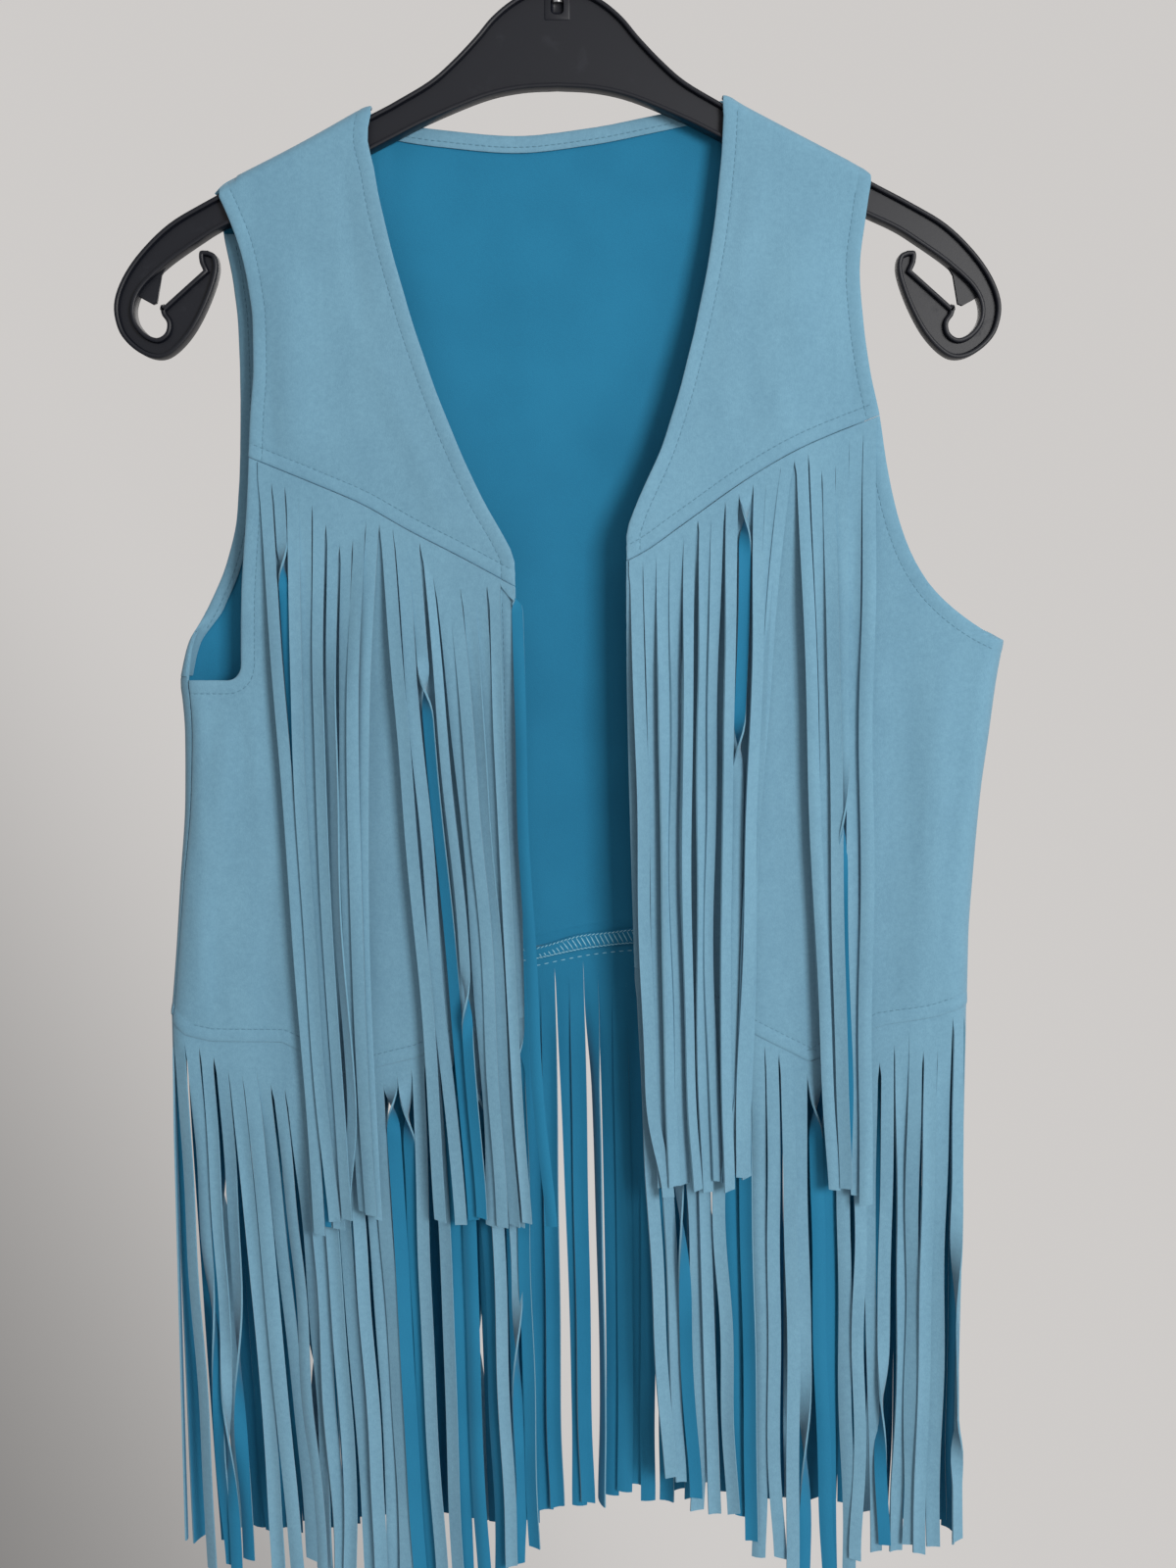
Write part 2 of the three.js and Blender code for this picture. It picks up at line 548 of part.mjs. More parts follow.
// A comb of cloth: a strip with each strand growing from its lower edge. Rows: upper and lower edge.
function comb(strip, hangOf) {
  const columns = strip[0].length;
  const faces = [movedOut(strip, TURNING / 2), movedOut(strip, -TURNING / 2)];
  const positions = faces.flatMap((face) => face.flatMap((row) => row.flatMap((p) => [p.x, p.y, p.z])));
  const at = (face, row, c) => (2 * face + row) * columns + c;
  const index = [];
  const quad = (a, b, c, d) => index.push(a, b, c, a, c, d);
  const lower = strip[1];
  for (let c = 0; c < columns - 1; c += 1) {
    quad(at(0, 0, c), at(0, 0, c + 1), at(0, 1, c + 1), at(0, 1, c));
    quad(at(1, 0, c), at(1, 1, c), at(1, 1, c + 1), at(1, 0, c + 1));
    quad(at(0, 0, c + 1), at(0, 0, c), at(1, 0, c), at(1, 0, c + 1));
    let ring = [at(0, 1, c), at(0, 1, c + 1), at(1, 1, c + 1), at(1, 1, c)];
    if (c % 2 === 1) {
      const root = {
        point: lower[c].clone().lerp(lower[c + 1], 0.5),
        along: lower[c + 1].clone().sub(lower[c]),
      };
      const hang = hangOf((c - 1) / 2, root.point);
      for (const t of STRAND_LEVELS) {
        const { centre, wide, deep } = hanging(root, hang, t);
        const next = [[-1, 1], [1, 1], [1, -1], [-1, -1]].map(([w, d]) => {
          const corner = centre.clone().addScaledVector(wide, (w * STRAND_WIDTH) / 2);
          corner.addScaledVector(deep, (d * STRAND_DEPTH) / 2);
          positions.push(corner.x, corner.y, corner.z);
          return positions.length / 3 - 1;
        });
        quad(ring[0], ring[1], next[1], next[0]);
        quad(ring[3], next[3], next[2], ring[2]);
        quad(next[1], ring[1], ring[2], next[2]);
        quad(ring[0], next[0], next[3], ring[3]);
        ring = next;
      }
    }
    quad(...ring);
  }
  quad(at(0, 0, 0), at(0, 1, 0), at(1, 1, 0), at(1, 0, 0));
  quad(at(0, 1, columns - 1), at(0, 0, columns - 1), at(1, 0, columns - 1), at(1, 1, columns - 1));
  return outwards(positions, index);
}

const lanes = [0, 2, 1];

function yokeFringe(side, count, look) {
  const from = side.sign < 0 ? side.armhole(-270) + 4.5 : side.opening(-319) + 1;
  const to = side.sign < 0 ? side.opening(-328) - 0.5 : side.armhole(-248) - 2.5;
  const clear = CLOTH / 2 + SEAM_GAP + TURNING / 2;
  const edge = evenly(from, to, count).map((x) => new THREE.Vector3(x, 0, 0));
  const columns = pointsAlong(edge, strandEdges(count));
  const strip = [0.4, YOKE_STRIP].map((drop) => columns.map(({ x }) => {
    const z = side.yokeSeam(x) - drop;
    return new THREE.Vector3(x, frontDepth(side, x, z) - clear, z);
  }));
  return comb(strip, (n, root) => ({
    length: look.length(root.x) + 4 * uneven(n, look.seed),
    clear: 3,
    layer: LAYER * lanes[n % 3],
    lean: look.lean,
    sway: 3.2 * uneven(n, look.seed + 1),
    phase: 0.6 * uneven(n, look.seed + 2),
    twist: 0.14 * uneven(n, look.seed + 3),
  }));
}

// Keeps a strip clear of a hem's point that falls between two of its columns
function clearOfPoints(columns, edge) {
  const lowered = columns.map((p) => p.clone());
  for (let c = 0; c < columns.length - 1; c += 1) {
    const between = edge.filter((q) => q.x > columns[c].x && q.x < columns[c + 1].x);
    const lowest = Math.min(...between.map((q) => q.z));
    if (lowest < Math.min(columns[c].z, columns[c + 1].z)) {
      lowered[c].z = lowest;
      lowered[c + 1].z = lowest;
    }
  }
  return lowered;
}

function hemFringe(edge, count, look) {
  const columns = clearOfPoints(pointsAlong(edge, strandEdges(count)), edge);
  const strip = [SEAM_GAP, HEM_STRIP].map((drop) => columns.map((p) => p.clone().setZ(p.z - drop)));
  return comb(strip, (n, root) => ({
    length: look.length(root.x) + 5 * uneven(n, look.seed),
    clear: 0,
    layer: -LAYER * lanes[n % 3],
    lean: look.lean,
    sway: 3 * uneven(n, look.seed + 1),
    phase: 0.7 * uneven(n, look.seed + 2),
    twist: 0.13 * uneven(n, look.seed + 3),
  }));
}

// The hanger's outline, from the crown over the right arm and its curled end back to the arch
function hangerHalf() {
  const p = (x, z) => new THREE.Vector2(x, z);
  const path = new THREE.Path();
  path.moveTo(0, CROWN_Z);
  path.splineThru([p(12, -53.8), p(21.6, -58.6), p(30.5, -65.8), p(38, -74.4), p(48.7, -85.2), p(60, -94.6),
    p(ARM_START.x, ARM_START.z)]);
  path.lineTo(147, ARM_START.z - ARM_SLOPE * (147 - ARM_START.x));
  path.splineThru([p(166, -149.4), p(182.5, -159), p(196, -171.5), p(205, -184), p(209.2, -196),
    p(207.6, -207.2), p(202.5, -214.6), p(195, -219.7), p(187.5, -220.8), p(181, -217.6), p(174, -210.4), p(168.2, -201.2),
    p(163, -190), p(159.6, -178), p(161.2, -172.3), p(165.4, -171), p(168, -174), p(166.8, -180.3)]);
  path.lineTo(187, -198.2);
  path.splineThru([p(184.4, -204), p(185.4, -209.1), p(189.4, -211.4), p(194.5, -209.3), p(198.6, -204.3),
    p(199.7, -198.5), p(198.2, -192.5), p(194.5, -187), p(189, -181.8)]);
  path.splineThru([p(181, -175.4), p(169, -167.4), p(158.8, -161.2), p(144, -154.5)]);
  path.lineTo(77.4, -120.5);
  path.splineThru([p(60, -112), p(34.8, -101.9), p(17.1, -98), p(0, -97)]);
  return path.getPoints(1);
}

// The same outline moved in by the width of the rim
function inset(points, distance) {
  return points.map((point, i) => {
    const before = points[(i + points.length - 1) % points.length];
    const after = points[(i + 1) % points.length];
    const a = point.clone().sub(before).normalize();
    const b = after.clone().sub(point).normalize();
    const across = new THREE.Vector2(a.y + b.y, -(a.x + b.x)).normalize();
    const stretch = Math.max(0.6, across.x * a.y - across.y * a.x);
    return point.clone().addScaledVector(across, distance / stretch);
  });
}

// A plate between two depths, cut to an outline in X and Z
function plate(points, nearest, farthest) {
  const geometry = new THREE.ExtrudeGeometry(new THREE.Shape(points), {
    depth: farthest - nearest, bevelEnabled: false, steps: 1,
  });
  geometry.rotateX(Math.PI / 2);
  geometry.translate(0, farthest, 0);
  return solidOf(geometry);
}

function block(width, depth, height, z) {
  return solidOf(new THREE.BoxGeometry(width, depth, height).translate(0, 0, z));
}

function hanger() {
  const half = hangerHalf();
  const mirrored = half.slice(1, -1).reverse().map((q) => new THREE.Vector2(-q.x, q.y));
  const outline = [...half, ...mirrored];
  const inner = inset(outline, RIM_WIDTH);
  let solid = plate(outline, -HANGER_DEPTH / 2, HANGER_DEPTH / 2);
  const boss = block(WINDOW.width + 7, HANGER_DEPTH, 20, WINDOW.z + 3);
  for (const [near, far] of [[-HANGER_DEPTH, -WEB_DEPTH / 2], [WEB_DEPTH / 2, HANGER_DEPTH]]) {
    solid = solid.subtract(plate(inner, near, far).subtract(boss));
  }
  solid = solid.subtract(block(WINDOW.width, 2 * HANGER_DEPTH, WINDOW.height, WINDOW.z));
  const bore = new THREE.CylinderGeometry(WIRE / 2 + SEAM_GAP, WIRE / 2 + SEAM_GAP, 16, 12);
  solid = solid.subtract(solidOf(bore.rotateX(Math.PI / 2).translate(0, 0, CROWN_Z + 2)));
  return geometryOf(solid);
}

function wireHook() {
  const radius = HOOK_INNER_RADIUS + WIRE / 2;
  const centreZ = -HOOK_INNER_RADIUS;
  const headTop = WINDOW.z + WINDOW.height / 2 - SEAM_GAP;
  const points = [new THREE.Vector3(0, 0, headTop - 1), new THREE.Vector3(0, 0, CROWN_Z + 1),
    new THREE.Vector3(1.2, 0, CROWN_Z + 6), new THREE.Vector3(9, 0, centreZ - 22)];
  for (let angle = -38; angle <= HOOK_END_ANGLE; angle += 11.5) {
    const round = angle * degrees;
    points.push(new THREE.Vector3(radius * Math.cos(round), 0, centreZ + radius * Math.sin(round)));
  }
  const section = new THREE.Shape();
  section.absarc(0, 0, WIRE / 2, 0, 2 * Math.PI);
  const wire = new THREE.ExtrudeGeometry(section, {
    extrudePath: new THREE.CatmullRomCurve3(points), steps: 30, curveSegments: 4, bevelEnabled: false,
  });
  const head = new THREE.CylinderGeometry(HEAD.radius, HEAD.radius, HEAD.height, 12);
  head.rotateX(Math.PI / 2).translate(0, 0, headTop - HEAD.height / 2);
  const last = points[points.length - 1];
  const ball = new THREE.SphereGeometry(WIRE * 0.72, 8, 6).translate(last.x, last.y, last.z);
  return geometryOf(solidOf(wire).add(solidOf(head)).add(solidOf(ball)));
}

// Finishes
const finish = (color, roughness, metalness) => new THREE.MeshStandardMaterial({ color, roughness, metalness });
const suede = () => finish('#78a2b5', 0.92, 0);
const fringeSuede = () => finish('#6896ab', 0.92, 0);
const reverse = () => finish('#297aa0', 0.88, 0);
const plastic = () => finish('#31343d', 0.42, 0);
const wire = () => finish('#b9bcc0', 0.28, 1);

const vest = new THREE.Group();
function add(name, geometry, material) {
  geometry.computeVertexNormals();
  const mesh = new THREE.Mesh(geometry, material);
  mesh.name = name;
  vest.add(mesh);
}

add('hanger', hanger(), plastic());
add('wire_hook', wireHook(), wire());
add('back', wall(backGrid, CLOTH), reverse());
add('back_neck_turning', neckTurning(), suede());
for (const [name, side, yokeCount, yokeLook, hemCount, hemLook] of [
  ['left', left, 19, { seed: 11, lean: 3, length: (x) => 366 - 0.52 * (x + 146) },
    25, { seed: 31, lean: 1.5, length: () => 275 }],
  ['right', right, 18, { seed: 51, lean: 0.8, length: (x) => 300 + 0.57 * (x - 34) },
    24, { seed: 71, lean: 1.6, length: (x) => mix(262, 275, smooth((x - 70) / 60)) }],
]) {
  add(`yoke_${name}`, yoke(side), suede());
  add(`lower_front_${name}`, lowerFront(side), suede());
  add(`armhole_turning_${name}`, armholeTurning(side), suede());
  add(`yoke_fringe_${name}`, yokeFringe(side, yokeCount, yokeLook), fringeSuede());
  add(`hem_fringe_${name}`, hemFringe(frontHemEdge(side), hemCount, hemLook), fringeSuede());
}
add('hem_fringe_back', hemFringe(backHemEdge(), 57, {
  seed: 91, lean: 1.5, length: (x) => mix(296, 276, smooth(Math.abs(x - 10) / 180)),
}), reverse());

export default vest;
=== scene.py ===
# %% [markdown]
# # A fringed vest on a clothes hanger
#
# The real vest is an open waistcoat of suede-faced cloth: a pale dusty blue face with a deep teal reverse.
# Each front is a yoke and a lower front, and a strip cut into strands is sewn into every yoke seam and into
# the hem. It hangs flat on a moulded black hanger with a wire hook.
#
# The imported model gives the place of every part. This script dresses it: finer cloth, sewing, fringe and
# finishes. Lengths in the tables below are millimetres, and MM turns them into Blender's metres once, where
# a vertex is placed. Left and right are as seen from the front, +Z is up and -Y is the front.

# %% Load the frame
import math

import bmesh
import bpy
from mathutils import Matrix, Vector
from mathutils.bvhtree import BVHTree
from mathutils.kdtree import KDTree


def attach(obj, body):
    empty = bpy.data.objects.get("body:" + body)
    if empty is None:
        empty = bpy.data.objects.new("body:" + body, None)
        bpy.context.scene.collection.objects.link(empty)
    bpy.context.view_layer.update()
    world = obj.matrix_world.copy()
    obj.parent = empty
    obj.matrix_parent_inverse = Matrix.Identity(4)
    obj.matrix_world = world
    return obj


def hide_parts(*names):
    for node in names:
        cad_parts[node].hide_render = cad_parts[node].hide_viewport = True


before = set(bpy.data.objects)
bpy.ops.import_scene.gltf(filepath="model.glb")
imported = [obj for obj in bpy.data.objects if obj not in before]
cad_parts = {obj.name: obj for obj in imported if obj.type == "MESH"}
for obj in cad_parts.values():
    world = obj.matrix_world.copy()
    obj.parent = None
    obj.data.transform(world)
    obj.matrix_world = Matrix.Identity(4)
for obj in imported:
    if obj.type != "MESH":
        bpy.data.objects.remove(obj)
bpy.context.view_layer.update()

MM = 0.001
print("CAD nodes:", len(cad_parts))

# %% [markdown]
# ## Small helpers
#
# Cloth is described by short tables: a row for each height, with the place of an edge there. A reader of such
# a table is all that is needed to ask for the edge at any height. `curved` joins the rows by a smooth line
# that never overshoots them, and `straight` joins them by straight ones, as where an edge has a real corner.

# %% Helpers for numbers and tables


def clamp(value, low, high):
    return max(low, min(high, value))


def mix(a, b, t):
    return a + (b - a) * t


def smooth(t):
    c = clamp(t, 0, 1)
    return c * c * (3 - 2 * c)


def uneven(piece, purpose):
    """A repeatable number from -1 to 1 for each piece and purpose."""
    wave = math.sin(piece * 12.9898 + purpose * 78.233) * 4375.85
    return 2 * (wave - math.floor(wave)) - 1


def evenly(start, end, count):
    return [mix(start, end, i / count) for i in range(count + 1)]


def rows_of(names, *values):
    """A table from its column names and its rows."""
    return [dict(zip(names.split(), row)) for row in values]


def straight(rows, given, wanted):
    table = sorted(rows, key=lambda row: row[given])

    def read(value):
        i = 0
        while i < len(table) - 2 and value > table[i + 1][given]:
            i += 1
        low, high = table[i], table[i + 1]
        return mix(low[wanted], high[wanted], clamp((value - low[given]) / (high[given] - low[given]), 0, 1))

    return read


def curved(names, *values):
    given, wanted = names.split()
    table = sorted(rows_of(names, *values), key=lambda row: row[given])
    at = [row[given] for row in table]
    to = [row[wanted] for row in table]
    slope = [(to[i + 1] - to[i]) / (at[i + 1] - at[i]) for i in range(len(table) - 1)]
    tangent = [slope[0]]
    for before, after in zip(slope, slope[1:]):
        tangent.append(0 if before * after <= 0 else 2 * before * after / (before + after))
    tangent.append(slope[-1])

    def read(value):
        x = clamp(value, at[0], at[-1])
        i = 0
        while i < len(table) - 2 and x > at[i + 1]:
            i += 1
        span = at[i + 1] - at[i]
        t = (x - at[i]) / span
        return (
            (2 * t**3 - 3 * t**2 + 1) * to[i] + (t**3 - 2 * t**2 + t) * span * tangent[i]
            + (3 * t**2 - 2 * t**3) * to[i + 1] + (t**3 - t**2) * span * tangent[i + 1]
        )

    return read


print("Half way through a soft step:", smooth(0.5))

# %% [markdown]
# ## The pattern pieces' outlines
#
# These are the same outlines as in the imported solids. `armhole` and `back_armhole` give x for each height z,
# and so do `side` and `opening`. `yoke_seam` and `hem` give z for each x. The two halves hang a little
# differently: the left side seam has turned to the front, and the right one is hidden behind the fold.
# `STRAP_END` is where the back's straps end at the neck, and `STRAP_CORNERS` are the two ends of each strap
# at the top of the shoulder.

# %% Outlines
LEFT = {
    "sign": -1,
    "armpit": -373,
    "armhole": curved(
        "z x", (-142, -160.5), (-154, -154.8), (-171, -148.6), (-187, -145.1), (-205, -143),
        (-225, -142.9), (-248, -144.7), (-286, -146.8), (-337, -150.7), (-372, -151.5)),
    "back_armhole": curved(
        "z x", (-142, -161), (-163, -158.4), (-183, -154.9), (-207, -152.9), (-231, -152.6),
        (-263, -153.3), (-295, -155.6), (-317, -161), (-335, -168.8), (-354, -178.5), (-373, -182)),
    "side": curved(
        "z x", (-373, -182), (-398, -180.4), (-430, -181), (-472, -184.5), (-513, -188), (-556, -192.5)),
    "opening": curved(
        "z x", (-105, -85.6), (-120, -88.6), (-135, -85.6), (-150, -82.9), (-193, -71.7), (-239, -56.4),
        (-286, -36.2), (-307, -24.4), (-316, -20.6), (-328, -20.1), (-560, -16.2)),
    "yoke_seam": curved(
        "x z", (-148, -266.6), (-114, -280.3), (-93, -289.2), (-70, -302), (-46, -314.2), (-20, -328.2)),
    "hem": straight(rows_of(
        "x z", (-192.5, -537), (-183, -546), (-170, -549.1), (-135, -549.6), (-103, -565.5), (-69, -556.2),
        (-40, -543.9), (-16, -535)), "x", "z"),
    "seam_angle": {"top": 61, "bottom": 38},
}
RIGHT = {
    "sign": 1,
    "armpit": -354,
    "armhole": curved(
        "z x", (-135, 147), (-156, 144), (-180, 141.5), (-205, 143.5), (-228, 147), (-248, 151.5),
        (-270, 155), (-292, 160), (-311, 166.8), (-325, 175), (-336, 185), (-347, 200), (-354, 214)),
    "back_armhole": curved(
        "z x", (-135, 147), (-156, 142.5), (-180, 139), (-205, 140), (-248, 147), (-270, 151), (-292, 156),
        (-311, 162), (-325, 170), (-336, 180), (-347, 196), (-354, 214)),
    "side": curved(
        "z x", (-354, 214), (-372, 211), (-398, 208), (-428, 204.5), (-464, 202), (-500, 200.3),
        (-545, 200.3)),
    "opening": curved(
        "z x", (-99, 75.5), (-108, 77.6), (-122, 77.1), (-146, 75), (-169, 72.1), (-218, 62.2),
        (-261, 49.8), (-296, 34.8), (-304, 32.6), (-319, 32.6), (-560, 38.3)),
    "yoke_seam": curved(
        "x z", (31, -317), (42, -311), (59.5, -298.6), (91, -276.6), (115, -263), (154, -247)),
    "hem": straight(rows_of(
        "x z", (37, -510.5), (61.5, -523.6), (94, -544), (123.4, -559.3), (157.5, -541), (183, -537),
        (200.3, -531.5)), "x", "z"),
    "seam_angle": {"top": -8, "bottom": -12},
}
back_hem = curved(
    "x z", (-192.5, -537.5), (-150, -532), (-100, -523), (-50, -513), (-15, -506.4), (19, -500),
    (40, -498), (75, -501), (120, -511), (165, -523), (200.3, -532))
back_neck = curved(
    "x z", (-85.6, -108), (-74, -111), (-56, -113.5), (-20, -116.3), (15, -112.7), (45, -107.1),
    (65, -103), (77, -101))
STRAP_END = {"left": -85.6, "right": 76.6}
STRAP_CORNERS = {"left": (-160.6, -86.1), "right": (76.9, 147)}
SHOULDER = {"x": 78.2, "z": -105, "slope": 0.504, "rise": 4.2, "depth": 6, "drop": 5.2,
            "corner": 6, "corner_drop": 3.4}


def ridge(x):
    """The top of the shoulders, a little above the hanger's arms."""
    return SHOULDER["z"] - SHOULDER["slope"] * (abs(x) - SHOULDER["x"]) + SHOULDER["rise"]


for half, label in ((LEFT, "left"), (RIGHT, "right")):
    length = abs(half["opening"](-560) - half["side"](-540))
    print(f"The {label} front is {length:.0f} mm wide at the hem")

# %% [markdown]
# ## How the cloth hangs
#
# Cloth that hangs from its shoulders isn't flat. It has a few long soft folds, and each is a ridge or a
# trough with a place, a width, a depth and the heights where it fades in and out. A Gaussian across the fold
# and a soft step along it give its form, and the fronts and the back each have a table of such folds. The
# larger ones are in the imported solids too, and the finer ones are only here.

# %% Folds and the depth of the cloth
FOLD = "x width depth top bottom lean"
front_folds = rows_of(
    FOLD, (-128, 11, 1.6, -170, -262, 0.05), (-60, 13, -1.4, -190, -300, 0.3),
    (-158, 7, 1.8, -384, -530, -0.12), (-132, 9, -1.5, -330, -540, -0.04),
    (-72, 14, 1.6, -340, -556, 0.02), (116, 12, 1.7, -150, -258, -0.1), (78, 12, -1.3, -180, -285, -0.25),
    (186, 8, 2, -352, -530, -0.06), (165, 9, -1.6, -330, -525, -0.03), (92, 14, 1.5, -320, -545, 0.04))
front_creases = rows_of(
    FOLD, (-148, 3.2, 0.5, -150, -215, -0.1), (-101, 5, -0.5, -125, -205, 0.12),
    (-136, 4, -0.45, -205, -268, 0.03), (-88, 6, 0.55, -215, -296, 0.42),
    (-171, 3.4, 0.9, -378, -452, -0.02), (-164, 3, -0.6, -430, -541, -0.05),
    (-175, 3.2, 0.7, -470, -543, 0.06), (-148, 4.2, 0.6, -376, -470, 0.08),
    (-112, 6, 0.6, -400, -540, 0.05), (-90, 5, -0.6, -350, -530, -0.03), (96, 5, 0.5, -128, -220, -0.2),
    (134, 4, -0.5, -160, -246, 0.06), (104, 6, -0.45, -196, -262, 0.15), (66, 4, 0.4, -190, -262, -0.32),
    (196, 3.4, -0.9, -358, -470, -0.1), (178, 4, 0.7, -372, -520, 0.05), (191, 3.6, 0.6, -455, -530, 0.02),
    (170, 4.4, -0.5, -420, -530, 0.08), (118, 6, 0.6, -330, -500, 0.02), (100, 5, -0.6, -420, -545, 0.03))
back_folds = rows_of(
    FOLD, (-118, 15, 2.2, -190, -520, 0.08), (-62, 18, -1.8, -160, -500, 0.02),
    (8, 20, 2, -230, -500, 0.03), (74, 16, -2, -170, -490, -0.03), (128, 14, 2.1, -210, -510, -0.05))
back_creases = rows_of(
    FOLD, (-146, 5, 0.8, -330, -520, 0.02), (-95, 6, -0.7, -260, -470, 0.05),
    (-38, 7, 0.8, -300, -495, -0.05), (-15, 6, -0.6, -380, -498, 0.02), (30, 6, -0.7, -340, -492, 0.05),
    (52, 7, 0.7, -200, -380, -0.04), (98, 5, 0.7, -320, -500, 0.04), (150, 5, -0.8, -300, -505, 0.02),
    (172, 5, 0.7, -380, -520, -0.03), (-165, 4, -0.7, -390, -528, 0.03), (-110, 5, 0.6, -130, -200, 0.1),
    (104, 5, -0.6, -125, -190, -0.08))


def folds_at(folds, x, z):
    depth = 0
    for fold in folds:
        run = (fold["top"] - z) / (fold["top"] - fold["bottom"])
        fade = smooth(run * 5) * smooth((1.15 - run) * 4)
        if fade > 0:
            place = fold["x"] + fold["lean"] * (fold["top"] - z)
            depth += fold["depth"] * fade * math.exp(-(((x - place) / fold["width"]) ** 2))
    return depth


FRONT = {"depth": 9, "from": 20, "over": 130, "lean": 8, "reach": 55, "lean_over": 220}
BACK = {"depth": 8.4, "neck_depth": 8, "neck_over": 8, "from": 8, "over": 60}


def front_depth(side, x, z):
    below = ridge(x) - z
    inward = abs(side["opening"](z) - x)
    lean = FRONT["lean"] * math.exp(-inward / FRONT["reach"]) * smooth(below / FRONT["lean_over"])
    hang = mix(SHOULDER["depth"], FRONT["depth"], smooth((below - FRONT["from"]) / FRONT["over"]))
    return -(hang + lean + folds_at(front_folds, x, z) + folds_at(front_creases, x, z))


def back_depth(x, z):
    below = ridge(x) - z
    from_ends = x - STRAP_END["left"], STRAP_END["right"] - x
    in_neck = smooth(from_ends[0] / BACK["neck_over"]) * smooth(from_ends[1] / BACK["neck_over"])
    top = mix(SHOULDER["depth"], BACK["neck_depth"], in_neck)
    hang = mix(top, BACK["depth"], smooth((below - BACK["from"]) / BACK["over"]))
    return hang + folds_at(back_folds, x, z) + folds_at(back_creases, x, z)


print("Folds and creases on the fronts:", len(front_folds) + len(front_creases))

# %% [markdown]
# ## Points on the fronts and the back
#
# A panel is read as a sheet with two directions: `from_edge`, a distance in from its outer edge, and the
# height z. At the side the cloth turns round from the front to the back, over a fold FOLD_WIDTH wide, so the
# outer part of the sheet bends round there. Up at the armhole it has no fold and stays flat.

# %% Points of the fronts and the back
FOLD_WIDTH = 10
FOLD_MIDDLE = -1
SEAM_SETTLES = 150
SEAM_TURN = 4


def turned_share(side, outer, z):
    """1 where the edge is at the side fold, 0 where it is 10 mm or more away from it."""
    return clamp(1 - abs(outer - side["side"](z)) / FOLD_WIDTH, 0, 1)


def seam_angle(side, z):
    return mix(side["seam_angle"]["top"], side["seam_angle"]["bottom"],
               smooth((side["armpit"] - z) / SEAM_SETTLES))


def edge_stretch(edge, z):
    """How much wider a band measures across when its edge slants."""
    slant = (edge(z + 1) - edge(z - 1)) / 2
    return math.sqrt(1 + slant**2)


def front_point(side, outer, share, from_opening, z):
    """A point of a front. share is 0 to 1 over the outer fold; past it, from_opening is the distance to the
    opening edge as a share of the flat part."""
    turn = turned_share(side, outer, z)
    start = seam_angle(side, z)
    if share < 1:
        angle = math.radians(mix(start, 90, share))
        spread = FOLD_WIDTH * (1 - math.cos(math.radians(start)))
        round_part = FOLD_WIDTH * (1 - math.cos(angle))
        flat_part = mix(spread * turn, FOLD_WIDTH, share)
        x = outer - side["sign"] * mix(flat_part, round_part, turn)
        level = front_depth(side, x, z)
        bent = FOLD_MIDDLE + (level - FOLD_MIDDLE) * math.sin(angle)
        return Vector((x, mix(level, bent, smooth(turn)), z))
    x = mix(side["opening"](z), outer - side["sign"] * FOLD_WIDTH, from_opening)
    return Vector((x, front_depth(side, x, z), z))


def back_outer(side, z):
    return side["side"](z) if z < side["armpit"] else side["back_armhole"](z)


def back_edge_point(side, share, z):
    """A point of the back's outer fold; share is 0 at its edge and 1 where the flat part begins."""
    outer = back_outer(side, z)
    turn = turned_share(side, outer, z)
    angle = math.radians(mix(seam_angle(side, z) - SEAM_TURN, -90, share))
    round_part = FOLD_WIDTH * (1 - math.cos(angle))
    x = outer - side["sign"] * mix(FOLD_WIDTH * share, round_part, turn)
    flat = back_depth(x, z)
    reach = FOLD_MIDDLE + FRONT["depth"] if angle > 0 else flat - FOLD_MIDDLE
    bent = FOLD_MIDDLE - reach * math.sin(angle)
    return Vector((x, mix(flat, bent, smooth(turn)), z))


NEAR_SHOULDER, NEAR_YOKE_SEAM, NEAR_BACK_HEM, NEAR_HEM = -125, -290, -520, -545


def crossing(place, edge, z, rounds=14, step=0.8):
    """The height at which a column of a panel meets an edge that is given as z for each x. It is sought from
    a height near it."""
    for _ in range(rounds):
        z = mix(z, edge(place(z).x), step)
    return z


print("Depth of the left front at its opening:", round(front_depth(LEFT, -18, -330), 1), "mm")

# %% [markdown]
# ## Making a panel
#
# Every panel starts as a flat grid from `bmesh.ops.create_grid`, as cloth starts flat on the table. A `place`
# function then says where each column and row goes. A turned and stitched edge is a little thicker than the
# rest, so the points near it are raised along their normals: the height for each distance from the edge is a
# table again, with a small groove where the stitches pull the cloth down. The Solidify modifier gives the
# thickness last. It puts the reverse of the cloth on the inner shell by its material offset.

# %% Panel maker
CLOTH = 1.3
STITCH_LINE = 6.2
PUCKER = 0.22
EDGE_STEPS = [0, 0.45, 1.2, 2.4, 3.8, 5, 5.8, 6.2, 6.6, 7.4, 9]
turned_edge = curved(
    "from_edge rise", (0, -0.42), (0.45, 0.02), (1.2, 0.22), (2.4, 0.28), (3.8, 0.25), (5, 0.16), (5.8, 0),
    (6.2, -0.08), (6.6, -0.02), (7.4, 0.03), (9, 0))
seam_edge = curved(
    "from_edge rise", (0, 0.05), (0.45, 0.3), (1.2, 0.42), (2.4, 0.4), (3.8, 0.31), (5, 0.18), (5.8, 0),
    (6.2, -0.11), (6.6, -0.03), (7.4, 0.03), (9, 0))


def puckers(along):
    """Small uneven ripples that stitches draw into an edge."""
    short, middling = 0.5 * math.sin(along / 1.9), 0.3 * math.sin(along / 3.3 + 1.3)
    return short + middling + 0.35 * math.sin(along / 7.1 + 0.4)


